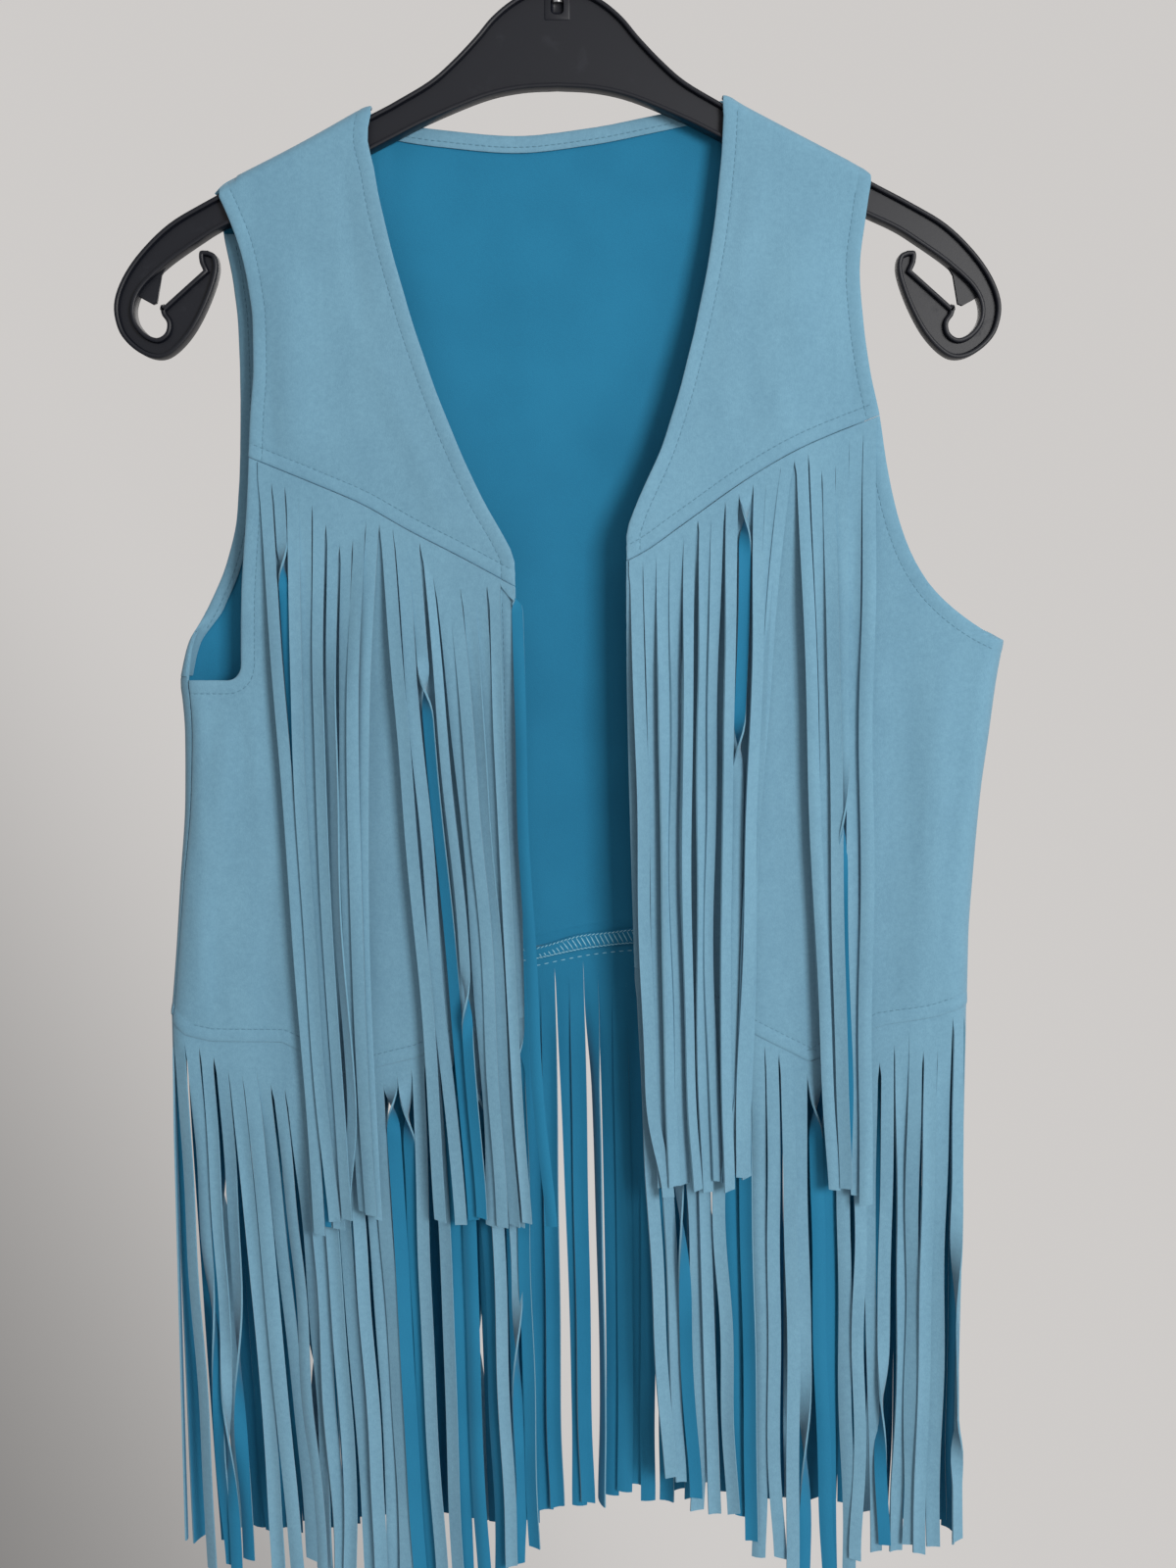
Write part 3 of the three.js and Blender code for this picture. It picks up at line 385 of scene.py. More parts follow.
def tree_of(points):
    tree = KDTree(len(points))
    for i, point in enumerate(points):
        tree.insert((point[0], 0, point[1]), i)
    tree.balance()
    return tree


def edge_line(edge, start, end, upright=True):
    """Points (x, z) every half millimetre along an edge."""
    count = max(2, int(abs(end - start) * 2))
    return [(edge(v), v) if upright else (v, edge(v)) for v in evenly(start, end, count)]


def edge_tree(edge, start, end, upright=True):
    return tree_of(edge_line(edge, start, end, upright))


def raised(bm, edges):
    """Raises the vertices near each edge along their normals, by that edge's table."""
    bm.normal_update()
    moves = []
    for vertex in bm.verts:
        x, z = vertex.co.x / MM, vertex.co.z / MM
        rise = 0
        for tree, table in edges:
            distance = tree.find((x, 0, z))[2]
            if distance < EDGE_STEPS[-1]:
                pull = 1 + PUCKER * puckers(x + z) * smooth(distance / 2) * smooth((8 - distance) / 3)
                rise += table(distance) * pull * smooth(1.7 * abs(vertex.normal.y))
        moves.append((vertex, vertex.normal * rise * MM))
    for vertex, move in moves:
        vertex.co += move


def grid_of(columns, rows, place, outward, leave_out=None):
    """A grid of cloth whose faces point outward: a vector that says which way is out."""
    bm = bmesh.new()
    bmesh.ops.create_grid(bm, x_segments=columns, y_segments=rows, size=0.5)

    def column_row(point):
        return (point.x + 0.5) * columns, (0.5 - point.y) * rows

    if leave_out:
        unwanted = [f for f in bm.faces if leave_out(*column_row(f.calc_center_median()))]
        bmesh.ops.delete(bm, geom=unwanted, context="FACES")
    for vertex in bm.verts:
        column, row = column_row(vertex.co)
        vertex.co = place(round(column), round(row)) * MM
    bmesh.ops.recalc_face_normals(bm, faces=bm.faces)
    facing = sum((f.normal * f.calc_area() for f in bm.faces), Vector())
    if facing.dot(outward) < 0:
        bmesh.ops.reverse_faces(bm, faces=bm.faces)
    return bm


def in_scene(name, data):
    made = bpy.data.objects.new(name, data)
    bpy.context.scene.collection.objects.link(made)
    return made


def object_of(bm, name, materials):
    mesh = bpy.data.meshes.new(name)
    bm.to_mesh(mesh)
    bm.free()
    piece = in_scene(name, mesh)
    for material in materials:
        mesh.materials.append(material)
    return piece


def shaded(mesh, sharp=50):
    """Shades a mesh smooth but for edges that bend by more than `sharp` degrees."""
    mesh.shade_smooth()
    mesh.set_sharp_from_angle(angle=math.radians(sharp))


def finished(piece):
    """Applies the piece's modifiers and shades it smooth but for its cut edges."""
    graph = bpy.context.evaluated_depsgraph_get()
    mesh = bpy.data.meshes.new_from_object(piece.evaluated_get(graph), depsgraph=graph)
    piece.modifiers.clear()
    piece.data = mesh
    shaded(mesh)
    triangles = sum(len(p.vertices) - 2 for p in mesh.polygons)
    print(f"{piece.name}: {triangles} triangles")
    return piece


def thickened(piece, thickness, edge_round=0.3, rim=0):
    """Gives a sheet its thickness. The inner shell takes the next material, the edge the one at rim."""
    solid = piece.modifiers.new("thickness", "SOLIDIFY")
    solid.thickness = thickness * MM
    solid.offset = 0
    solid.material_offset = 1
    solid.material_offset_rim = rim
    if edge_round:
        bevel = piece.modifiers.new("soft edge", "BEVEL")
        bevel.width = edge_round * MM
        bevel.segments = 2
        bevel.limit_method = "ANGLE"
        bevel.angle_limit = math.radians(60)
    return finished(piece)


TOWARDS_FRONT = Vector((0, -1, 0))
TOWARDS_BACK = Vector((0, 1, 0))
print("A turned edge rises", turned_edge(2.4), "mm and is stitched", STITCH_LINE, "mm in")

# %% [markdown]
# ## Writing finishes as sums
#
# A shader is a sum of noises and masks. Wiring Math nodes one by one hides that, so a small class wraps a
# socket and lets `+` and `*` add the nodes. Any other node comes from `node`, which takes its type, its
# settings and its inputs. Only what changes over the surface goes through nodes. Numbers that are the same
# all over are set on the shader's own sockets.

# %% Shader helpers


class Amount:
    """A number that changes over the surface."""

    def __init__(self, finish, socket):
        self.finish = finish
        self.socket = socket

    def combined(self, operation, first, second):
        made = self.finish.node("ShaderNodeMath", {"operation": operation}, {0: first, 1: second})
        return Amount(self.finish, made.outputs[0])

    def __add__(self, other):
        return self.combined("ADD", self, other)

    def __mul__(self, other):
        return self.combined("MULTIPLY", self, other)

    __radd__ = __add__
    __rmul__ = __mul__


class Finish:
    """A material with one Principled shader, and the nodes that feed it."""

    def __init__(self, name, **constants):
        self.material = bpy.data.materials.new(name)
        self.material.use_nodes = True
        self.tree = self.material.node_tree
        self.tree.nodes.clear()
        self.shader = self.node("ShaderNodeBsdfPrincipled", {}, constants)
        self.node("ShaderNodeOutputMaterial", {}, {"Surface": self.shader.outputs[0]})
        self.place = self.node("ShaderNodeTexCoord").outputs["Object"]

    def node(self, kind, settings=None, inputs=None):
        made = self.tree.nodes.new(kind)
        for name, value in (settings or {}).items():
            setattr(made, name, value)
        for name, value in (inputs or {}).items():
            socket = made.inputs[name.replace("_", " ") if isinstance(name, str) else name]
            source = value.socket if isinstance(value, Amount) else value
            if isinstance(source, bpy.types.NodeSocket):
                self.tree.links.new(source, socket)
            else:
                socket.default_value = source
        return made

    def stretched(self, x, y, z):
        return self.node("ShaderNodeMapping", {}, {"Vector": self.place, "Scale": (x, y, z)}).outputs[0]

    def noise(self, scale, detail=3, roughness=0.6, along=None):
        made = self.node("ShaderNodeTexNoise", {}, {
            "Vector": along or self.place, "Scale": scale, "Detail": detail, "Roughness": roughness})
        return Amount(self, made.outputs["Fac"])

    def between(self, low, high, amount):
        """0 below low and 1 above high, with a soft step between."""
        made = self.node("ShaderNodeMapRange", {"interpolation_type": "SMOOTHSTEP"}, {
            "Value": amount, "From Min": low, "From Max": high})
        return Amount(self, made.outputs[0])

    def colours(self, first, second, amount):
        made = self.node("ShaderNodeMix", {"data_type": "RGBA"}, {0: amount, 6: first, 7: second})
        return made.outputs[2]

    def bumped(self, height, strength, distance):
        made = self.node("ShaderNodeBump", {}, {
            "Height": height, "Strength": strength, "Distance": distance})
        self.tree.links.new(made.outputs[0], self.shader.inputs["Normal"])

    def feeds(self, **sources):
        for name, value in sources.items():
            source = value.socket if isinstance(value, Amount) else value
            self.tree.links.new(source, self.shader.inputs[name.replace("_", " ")])


def linear(red, green, blue):
    """A colour given in 0 to 255 display values, as the shader wants it."""
    def one(value):
        c = value / 255
        return c / 12.92 if c <= 0.04045 else ((c + 0.055) / 1.055) ** 2.4
    return (one(red), one(green), one(blue), 1)


print("Mid grey as the shader sees it:", round(linear(128, 128, 128)[0], 3))

# %% [markdown]
# ## The cloth's two faces
#
# The face is brushed: fine short fibres, a faint mottling where the nap lies another way, and broad soft
# clouds where hands have stroked it. The reverse is a smooth fine knit, darker and a little shinier. Both
# are noises on the object's own coordinates, at the size of real fibres, and a bump of the same fibres
# breaks up the light. Sheen gives the pale edge that nap has at a glancing angle.

# %% Cloth finishes


def suede_face(name, deep, light):
    finish = Finish(name, Sheen_Weight=0.22, Sheen_Roughness=0.45, Specular_IOR_Level=0.18)
    fibres = finish.noise(1, detail=4, roughness=0.7, along=finish.stretched(1900, 1900, 900))
    nap = finish.noise(420, detail=3, roughness=0.65)
    strokes = finish.noise(1, detail=2, roughness=0.55, along=finish.stretched(70, 70, 26))
    clouds = finish.noise(17, detail=2, roughness=0.5)
    pattern = fibres * 0.38 + nap * 0.3 + strokes * 0.2 + clouds * 0.12
    finish.feeds(
        Base_Color=finish.colours(deep, light, finish.between(0.2, 0.8, pattern)),
        Roughness=0.82 + nap * 0.14,
    )
    finish.bumped(fibres * 0.6 + nap * 0.4, strength=0.22, distance=0.0003)
    return finish.material


def knit_reverse(name, deep, light):
    finish = Finish(name, Sheen_Weight=0.12, Sheen_Roughness=0.5, Specular_IOR_Level=0.25)
    knit = finish.noise(1, detail=3, roughness=0.6, along=finish.stretched(1500, 1500, 2600))
    clouds = finish.noise(24, detail=2, roughness=0.5)
    finish.feeds(
        Base_Color=finish.colours(deep, light, finish.between(0.3, 0.7, knit * 0.5 + clouds * 0.5)),
        Roughness=0.72 + knit * 0.14,
    )
    finish.bumped(knit, strength=0.25, distance=0.0003)
    return finish.material


face = suede_face("suede_face", linear(93, 133, 156), linear(115, 158, 180))
reverse = knit_reverse("knit_reverse", linear(18, 104, 140), linear(25, 113, 150))
cut_edge = suede_face("cut_edge", linear(92, 134, 156), linear(110, 154, 176))
CLOTH_FACES = [face, reverse]
CUT_CLOTH = [face, reverse, cut_edge]
print("Cloth finishes:", face.name, reverse.name, cut_edge.name)

# %% [markdown]
# ## The yokes
#
# A yoke runs from the top of the shoulder, over the hanger's arm, down to a slanting seam. Its armhole and
# opening edges are turned in and stitched, and its lower edge is pressed over the seam and topstitched, so
# all three stand a little proud. Columns lie close together near the two upright edges, where that relief
# is, and rows lie close together near the seam.

# %% Yokes
MIDDLE_COLUMNS = 26
EDGE_COUNT = len(EDGE_STEPS)
EDGE_GAP = 1
SEAM_SLANT = 1.1


def point_in_from(side, outer, distance, width, z):
    """A point of a front at a distance in from its outer edge; width is that of the flat part."""
    if distance < FOLD_WIDTH:
        return front_point(side, outer, distance / FOLD_WIDTH, 1, z)
    return front_point(side, outer, 1, 1 - (distance - FOLD_WIDTH) / width, z)


def front_column(side, outer_edge, column, z):
    """A point of a front by its column: close columns near each edge and even ones between."""
    outer = outer_edge(z)
    stretch = mix(edge_stretch(outer_edge, z), 1, turned_share(side, outer, z))
    inner_stretch = edge_stretch(side["opening"], z)
    width = abs(outer - side["opening"](z)) - FOLD_WIDTH
    if column < EDGE_COUNT:
        return point_in_from(side, outer, EDGE_STEPS[column] * stretch, width, z)
    if FRONT_COLUMNS - column < EDGE_COUNT:
        distance = EDGE_STEPS[FRONT_COLUMNS - column] * inner_stretch
        return front_point(side, outer, 1, distance / width, z)
    start = 1 - (max(FOLD_WIDTH, EDGE_STEPS[-1] * stretch) + EDGE_GAP - FOLD_WIDTH) / width
    end = (EDGE_STEPS[-1] + 1.5 * EDGE_GAP) * inner_stretch / width
    return front_point(side, outer, 1, mix(start, end, (column - EDGE_COUNT) / (MIDDLE_COLUMNS - 1)), z)


FRONT_COLUMNS = 2 * EDGE_COUNT + MIDDLE_COLUMNS - 1
RIDGE_ANGLES = [0, 16, 28, 38, 48, 58, 68, 79, 90]
SEAM_GAP = 0.3


def over_shoulder(point, top, angle, away):
    """Bends a strap's top over the shoulder; away is -1 to the front and 1 to the back. The two corners of
    the strap are rounded, as cloth is where it bends both ways."""
    turn = math.radians(angle)
    start = away * SEAM_GAP / 2
    y = start + (point.y - start) * math.sin(turn)
    corners = STRAP_CORNERS["left" if point.x < 0 else "right"]
    near = clamp(min(abs(point.x - corner) for corner in corners) / SHOULDER["corner"], 0, 1)
    rounding = SHOULDER["corner_drop"] * (1 - math.sqrt(1 - (1 - near) ** 2)) * (1 - math.sin(turn))
    return Vector((point.x, y, top - SHOULDER["drop"] * (1 - math.cos(turn)) - rounding))


def yoke(name, side):
    def place_at(column):
        return lambda z: front_column(side, side["armhole"], column, z)

    def yoke_seam(x):
        return side["yoke_seam"](x) + SEAM_GAP / 2

    columns = range(FRONT_COLUMNS + 1)
    tops = [crossing(place_at(c), ridge, NEAR_SHOULDER) for c in columns]
    seams = [crossing(place_at(c), yoke_seam, NEAR_YOKE_SEAM) for c in columns]
    body_rows = 34
    rows = len(RIDGE_ANGLES) - 1 + body_rows + EDGE_COUNT

    def place(column, row):
        top = tops[column]
        shoulder = top - SHOULDER["drop"]
        if row < len(RIDGE_ANGLES):
            return over_shoulder(place_at(column)(shoulder), top, RIDGE_ANGLES[row], -1)
        down = row - len(RIDGE_ANGLES) + 1
        last = rows - row
        above_edge = seams[column] + (EDGE_STEPS[-1] + EDGE_GAP) * SEAM_SLANT
        if last < EDGE_COUNT:
            return place_at(column)(seams[column] + EDGE_STEPS[last] * SEAM_SLANT)
        return place_at(column)(mix(shoulder, above_edge, down / body_rows))

    bm = grid_of(FRONT_COLUMNS, rows, place, TOWARDS_FRONT)
    armhole, opening = edge_tree(side["armhole"], -100, -300), edge_tree(side["opening"], -90, -360)
    seam = edge_tree(yoke_seam, *((-160, -10) if side is LEFT else (20, 160)), upright=False)
    raised(bm, [(armhole, turned_edge), (opening, turned_edge), (seam, seam_edge)])
    piece = thickened(object_of(bm, name, CLOTH_FACES), CLOTH)
    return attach(piece, "root")


yoke_left = yoke("vest_yoke_left", LEFT)
yoke_right = yoke("vest_yoke_right", RIGHT)
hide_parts("yoke_left")
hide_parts("yoke_right")

# %% [markdown]
# ## The lower fronts
#
# Below the yoke each front goes on to a pointed hem, and at the side it turns round to meet the back. The
# left armhole ends in a corner that lies level, so that panel is cut like the real one: a full grid from
# which the faces outside the armhole are deleted. On the right the armhole runs out to the side in one
# curve, and the columns simply follow it.

# %% Lower fronts
SIDE_COLUMNS = 12
CORNER_RADIUS = 8
CORNER_DEPTH = 8
HEM_SLANT = 1.06
HAIR = 0.01


def corner_curve(t):
    """The rounded corner, from its end up the armhole to its end along the armpit."""
    return Vector((-CORNER_RADIUS * t * t, 0, CORNER_RADIUS * (1 - t) ** 2))


def rounded_corner(point, corner):
    """Moves points near the armhole's lower corner, so that its edge follows corner_curve."""
    inside, below = point.x - corner.x, corner.z - point.z
    if inside >= 0 and below >= 0:
        depth, along = math.hypot(inside, below), 0
    elif inside >= 0:
        depth, along = inside, min(CORNER_RADIUS, -below)
    else:
        depth, along = below, -min(CORNER_RADIUS, -inside)
    if abs(along) >= CORNER_RADIUS or depth > CORNER_DEPTH:
        return point
    edge = Vector((min(along, 0), 0, max(along, 0)))
    shift = corner_curve(0.5 * (1 - along / CORNER_RADIUS)) - edge
    return point + shift * (1 - smooth(depth / CORNER_DEPTH))


def armhole_corner_line(side):
    """The left armhole's edge: down the front, round the corner and out along the armpit."""
    armpit = side["armpit"]
    x = side["armhole"](armpit + 1)
    down = edge_line(side["armhole"], -268, armpit + CORNER_RADIUS)
    round_part = [(x + p.x, armpit + p.z) for p in map(corner_curve, evenly(0, 1, 16))]
    outwards = [(v, armpit) for v in evenly(x - CORNER_RADIUS, side["side"](armpit) + 1, 50)]
    return down + round_part[1:-1] + outwards


def lower_front(name, side):
    level_armpit = side is LEFT
    extra = SIDE_COLUMNS if level_armpit else 0
    armpit = side["armpit"]
    corner = Vector((side["armhole"](armpit + 1), 0, armpit))

    def outer_edge(z):
        return side["armhole"](z) if z > armpit else side["side"](z)

    def beside_corner(column, z):
        """Columns of the panel whose armhole ends in a corner. The extra ones are outside that corner."""
        if z > armpit:
            return front_column(side, side["armhole"], column - extra, z)
        outer = side["side"](z)
        width = abs(outer - side["opening"](z)) - FOLD_WIDTH
        if column < extra:
            distance = (1 - (1 - column / extra) ** 1.4) * abs(corner.x - outer)
            return point_in_from(side, outer, distance, width, z)
        above = front_column(side, side["armhole"], column - extra, armpit)
        shift = side["opening"](z) - side["opening"](armpit)
        x = above.x + shift * smooth((column - extra) / (FRONT_COLUMNS - extra))
        return front_point(side, outer, 1, abs(side["opening"](z) - x) / width, z)

    def place_at(column):
        if level_armpit:
            return lambda z: beside_corner(column, z)
        return lambda z: front_column(side, outer_edge, column, z)

    def top_edge(x):
        return side["yoke_seam"](x) - SEAM_GAP / 2

    columns = range(FRONT_COLUMNS + extra + 1)
    tops = [crossing(place_at(max(c, extra)), top_edge, NEAR_YOKE_SEAM) for c in columns]
    hems = [crossing(place_at(c), side["hem"], NEAR_HEM) for c in columns]
    upper_rows, lower_rows = 22, 34
    rows = upper_rows + 2 * EDGE_COUNT + lower_rows

    def square_place(column, row):
        if row <= upper_rows:
            share = 1 - (1 - row / upper_rows) ** 1.5
            level = armpit + (HAIR if level_armpit and column >= extra else -HAIR)
            lowest = row == upper_rows
            return place_at(column if lowest else max(column, extra))(mix(tops[column], level, share))
        under, last = row - upper_rows, rows - row
        if under < EDGE_COUNT:
            return place_at(column)(armpit - EDGE_STEPS[under] - HAIR)
        if last < EDGE_COUNT:
            return place_at(column)(hems[column] + EDGE_STEPS[last] * HEM_SLANT)
        start = armpit - EDGE_STEPS[-1] - EDGE_GAP
        end = hems[column] + (EDGE_STEPS[-1] + EDGE_GAP) * HEM_SLANT
        return place_at(column)(mix(start, end, (under - EDGE_COUNT) / lower_rows))

    def place(column, row):
        point = square_place(column, row)
        return rounded_corner(point, corner) if level_armpit else point

    def outside_armhole(column, row):
        return column < extra and row < upper_rows

    bm = grid_of(FRONT_COLUMNS + extra, rows, place, TOWARDS_FRONT, outside_armhole if extra else None)
    edge = armhole_corner_line(side) if level_armpit else edge_line(side["armhole"], -200, armpit)
    opening = edge_tree(side["opening"], -290, -575)
    hem = edge_tree(side["hem"], *((-200, -5) if side is LEFT else (20, 210)), upright=False)
    raised(bm, [(tree_of(edge), turned_edge), (opening, turned_edge), (hem, seam_edge)])
    piece = thickened(object_of(bm, name, CLOTH_FACES), CLOTH)
    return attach(piece, "root")


lower_left = lower_front("vest_lower_front_left", LEFT)
lower_right = lower_front("vest_lower_front_right", RIGHT)
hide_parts("lower_front_left")
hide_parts("lower_front_right")

# %% [markdown]
# ## The back
#
# The back is one piece, seen from inside through the open front and whole from behind. Its straps go over
# the shoulders like the yokes do, and between them the neck is cut low. Two columns stand close together at
# each corner of the neck, so that it stays a corner.

# %% Back panel
BACK_SIDE = 9
BACK_STRAP = 14
BACK_NECK = 44
BACK_COLUMNS = 2 * BACK_SIDE + 2 * BACK_STRAP + BACK_NECK
NECK_CORNER = 1.6


def back_fold_share(column):
    return EDGE_STEPS[column + 1] / EDGE_STEPS[BACK_SIDE + 1] if column else 0


def back_place(column, z):
    """A point of the back by its column. Straps and neck have their own, which run down to the hem."""
    if column < BACK_SIDE:
        return back_edge_point(LEFT, back_fold_share(column), z)
    if column > BACK_COLUMNS - BACK_SIDE:
        return back_edge_point(RIGHT, back_fold_share(BACK_COLUMNS - column), z)
    start = back_outer(LEFT, z) + FOLD_WIDTH
    end = back_outer(RIGHT, z) - FOLD_WIDTH
    inner = column - BACK_SIDE
    corner_left, corner_right = STRAP_END["left"], STRAP_END["right"]
    if inner <= BACK_STRAP:
        x = mix(start, corner_left, inner / BACK_STRAP)
    elif inner >= BACK_STRAP + BACK_NECK:
        x = mix(corner_right, end, (inner - BACK_STRAP - BACK_NECK) / BACK_STRAP)
    else:
        share = (inner - BACK_STRAP - 1) / (BACK_NECK - 2)
        x = mix(corner_left + NECK_CORNER, corner_right - NECK_CORNER, share)
    return Vector((x, back_depth(x, z), z))


def on_strap(x):
    return x <= STRAP_END["left"] or x >= STRAP_END["right"]


def back_top(x):
    return ridge(x) if on_strap(x) else back_neck(x)


def back_panel(name):
    def place_at(column):
        return lambda z: back_place(column, z)

    columns = range(BACK_COLUMNS + 1)
    tops = [crossing(place_at(c), back_top, NEAR_SHOULDER) for c in columns]
    hems = [crossing(place_at(c), back_hem, NEAR_BACK_HEM) for c in columns]
    armpits = [mix(LEFT["armpit"], RIGHT["armpit"], c / BACK_COLUMNS) for c in columns]
    upper_rows, lower_rows = 52, 36
    shoulder_rows = len(RIDGE_ANGLES) - 1
    rows = shoulder_rows + upper_rows + lower_rows + EDGE_COUNT

    def place(column, row):
        top = tops[column]
        shoulder = top - SHOULDER["drop"]
        if row <= shoulder_rows:
            turn = math.radians(RIDGE_ANGLES[row])
            flat = place_at(column)(top - SHOULDER["drop"] * (1 - math.cos(turn)))
            return over_shoulder(flat, top, RIDGE_ANGLES[row], 1) if on_strap(flat.x) else flat
        down = row - shoulder_rows
        if down <= upper_rows:
            return place_at(column)(mix(shoulder, armpits[column], (down / upper_rows) ** 0.9))
        last = rows - row
        if last < EDGE_COUNT:
            return place_at(column)(hems[column] + EDGE_STEPS[last])
        end = hems[column] + EDGE_STEPS[-1] + EDGE_GAP
        return place_at(column)(mix(armpits[column], end, (down - upper_rows) / (lower_rows + 1)))

    bm = grid_of(BACK_COLUMNS, rows, place, TOWARDS_BACK)
    neck = edge_tree(back_neck, STRAP_END["left"], STRAP_END["right"], upright=False)
    armholes = [edge_tree(side["back_armhole"], -140, side["armpit"]) for side in (LEFT, RIGHT)]
    hem = edge_tree(back_hem, -200, 210, upright=False)
    raised(bm, [(neck, turned_edge), (hem, seam_edge)] + [(tree, turned_edge) for tree in armholes])
    piece = thickened(object_of(bm, name, CLOTH_FACES), CLOTH)
    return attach(piece, "root")


back = back_panel("vest_back")
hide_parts("back")

# %% [markdown]
# ## The turned edges inside the back
#
# At the neck and the armholes the back's edge is folded to the inside, so a narrow band of the pale face
# shows there against the teal. Each band is a narrow grid along the edge, held just off the inside of the
# panel, with its own soft lip.

# %% Turned edges
TURNING = 1
INSIDE = CLOTH / 2 + SEAM_GAP + TURNING / 2
BAND_COLUMNS = 7
BAND_STEP = 1.7
BAND_PUCKER = 0.08
NECK_BAND = 7.6
ARMHOLE_BAND = 6.6
band_lip = curved(
    "across rise", (0, -0.5), (0.12, 0.05), (0.35, 0.25), (0.65, 0.12), (0.8, -0.12), (0.9, 0.1),
    (1, -0.25))


def band(name, count, point_at, materials):
    """A narrow band along an edge: point_at(share along, share across) is on the inside of the panel."""
    def place(column, row):
        rise = band_lip(column / BAND_COLUMNS) + BAND_PUCKER * puckers(row * BAND_STEP)
        return point_at(row / count, column / BAND_COLUMNS) + Vector((0, -rise, 0))

    bm = grid_of(BAND_COLUMNS, count, place, TOWARDS_FRONT)
    piece = thickened(object_of(bm, name, materials), TURNING, 0.2)
    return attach(piece, "root")


def neck_band_point(along, across):
    x = mix(STRAP_END["left"] + 4, STRAP_END["right"] - 4, along)
    z = back_neck(x) - 0.3 - across * NECK_BAND
    return Vector((x, back_depth(x, z) - INSIDE, z))


def armhole_band_point(side, end):
    def point(along, across):
        z = mix(-162, end, along)
        stretch = min(edge_stretch(side["back_armhole"], z), 1.4)
        share = 0.04 + across * ARMHOLE_BAND / FOLD_WIDTH * stretch
        return back_edge_point(side, clamp(share, 0, 1), z) + Vector((0, -INSIDE, 0))

    return point


neck_turning = band("vest_neck_turning", 120, neck_band_point, [face, face])
turning_left = band("vest_armhole_turning_left", 90, armhole_band_point(LEFT, -371), [face, face])
turning_right = band("vest_armhole_turning_right", 90, armhole_band_point(RIGHT, -340), [face, face])
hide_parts("back_neck_turning")
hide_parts("armhole_turning_left")
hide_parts("armhole_turning_right")

# %% [markdown]
# ## The fringe
#
# A fringe is made here the way a maker does it: one strip of cloth, cut upwards with scissors. The grid is
# the whole strip, `split_edges` makes the cuts, and only then is each strand hung. A strand follows its root
# at first, and lower down its own line: it leans with its neighbours, drifts to a place of its own, turns a
# little, and some turn right over and show the teal reverse.
#
# The strands worth naming have rows in a table: where their middle and their tip drift to, how far they are
# slanted, like the slat of a blind, and how far below the seam the cut beside them begins. Strands between
# two rows take values between them, and each gets a small unevenness of its own. A second table names the
# strands that turn over, and where, as shares of the strand's length. A share of 9 lies past its tip, so it
# stands for never. A strand that turns needs room, so it can move outwards as it does. Most cuts between
# strands are hairlines, and a few stand open.

# %% Fringe maker
STRAND_COLUMNS = 3
STRIP_ROWS = 3
FRINGE_CLOTH = 0.9
NEARBY = 2
NEVER = 9
SETTLES = 0.25
CURLS_FROM = 0.78
SHORTEST_SLIT = 1.8
GAP_OPENS = 4
LEAVES_STRIP = 10
CLOSER_AT_TOP = 1.25
DOWN = Vector((0, 0, -1))


def walked(edge):
    """Reads points at distances along a line, as seen from above, and the level directions there."""
    reach = [0]
    for before, after in zip(edge, edge[1:]):
        reach.append(reach[-1] + math.hypot(after.x - before.x, after.y - before.y))
    total = reach[-1]

    def point(distance):
        i = 1
        while i < len(edge) - 1 and reach[i] < distance:
            i += 1
        t = (distance - reach[i - 1]) / (reach[i] - reach[i - 1])
        return edge[i - 1].lerp(edge[i], clamp(t, 0, 1))

    def level_at(distance):
        across = point(min(total, distance + NEARBY)) - point(max(0, distance - NEARBY))
        along = Vector((across.x, across.y, 0)).normalized()
        return along, Vector((along.y, -along.x, 0))

    return point, level_at, total


def strand_line(look, strand, t):
    """How far a strand's middle is sideways and outwards at share t of its length, and its turn."""
    n, seed = strand["number"], look["seed"]
    drift = strand["middle"] * 4 * t * (1 - t) + strand["tip"] * (2 * t * t - t)
    sway = look["sway"] * uneven(n, seed + 1) * math.sin(5.2 * t + 2 * uneven(n, seed + 2)) * t
    ripple = look["ripple"] * uneven(n, seed + 9) * math.sin(15 * t + 5 * uneven(n, seed + 10))
    curl = strand["curl"] * smooth((t - CURLS_FROM) / (1 - CURLS_FROM)) ** 2
    lean = math.tan(math.radians(look["lean"])) * strand["length"] * t
    over = smooth((t - strand["over_from"]) / strand["over_in"])
    over -= smooth((t - strand["over_to"]) / look["twist"])
    wave = 11 * uneven(n, seed + 3) * math.sin(6 * t + 3 * uneven(n, seed + 4)) * smooth(t * 4)
    turn = math.radians(strand["slant"] * smooth(t / SETTLES) + wave) + strand["way"] * math.pi * over
    bow = 0.5 * math.sin(7 * t + 4 * uneven(n, seed + 6)) * t
    outwards = (strand["layer"] - strand["deep"]) * smooth(t / SETTLES) + bow + 0.3 * abs(curl)
    outwards += look["room"] * abs(math.sin(turn))
    return lean + drift + sway + ripple * smooth(t * 2.5) + curl, outwards, turn


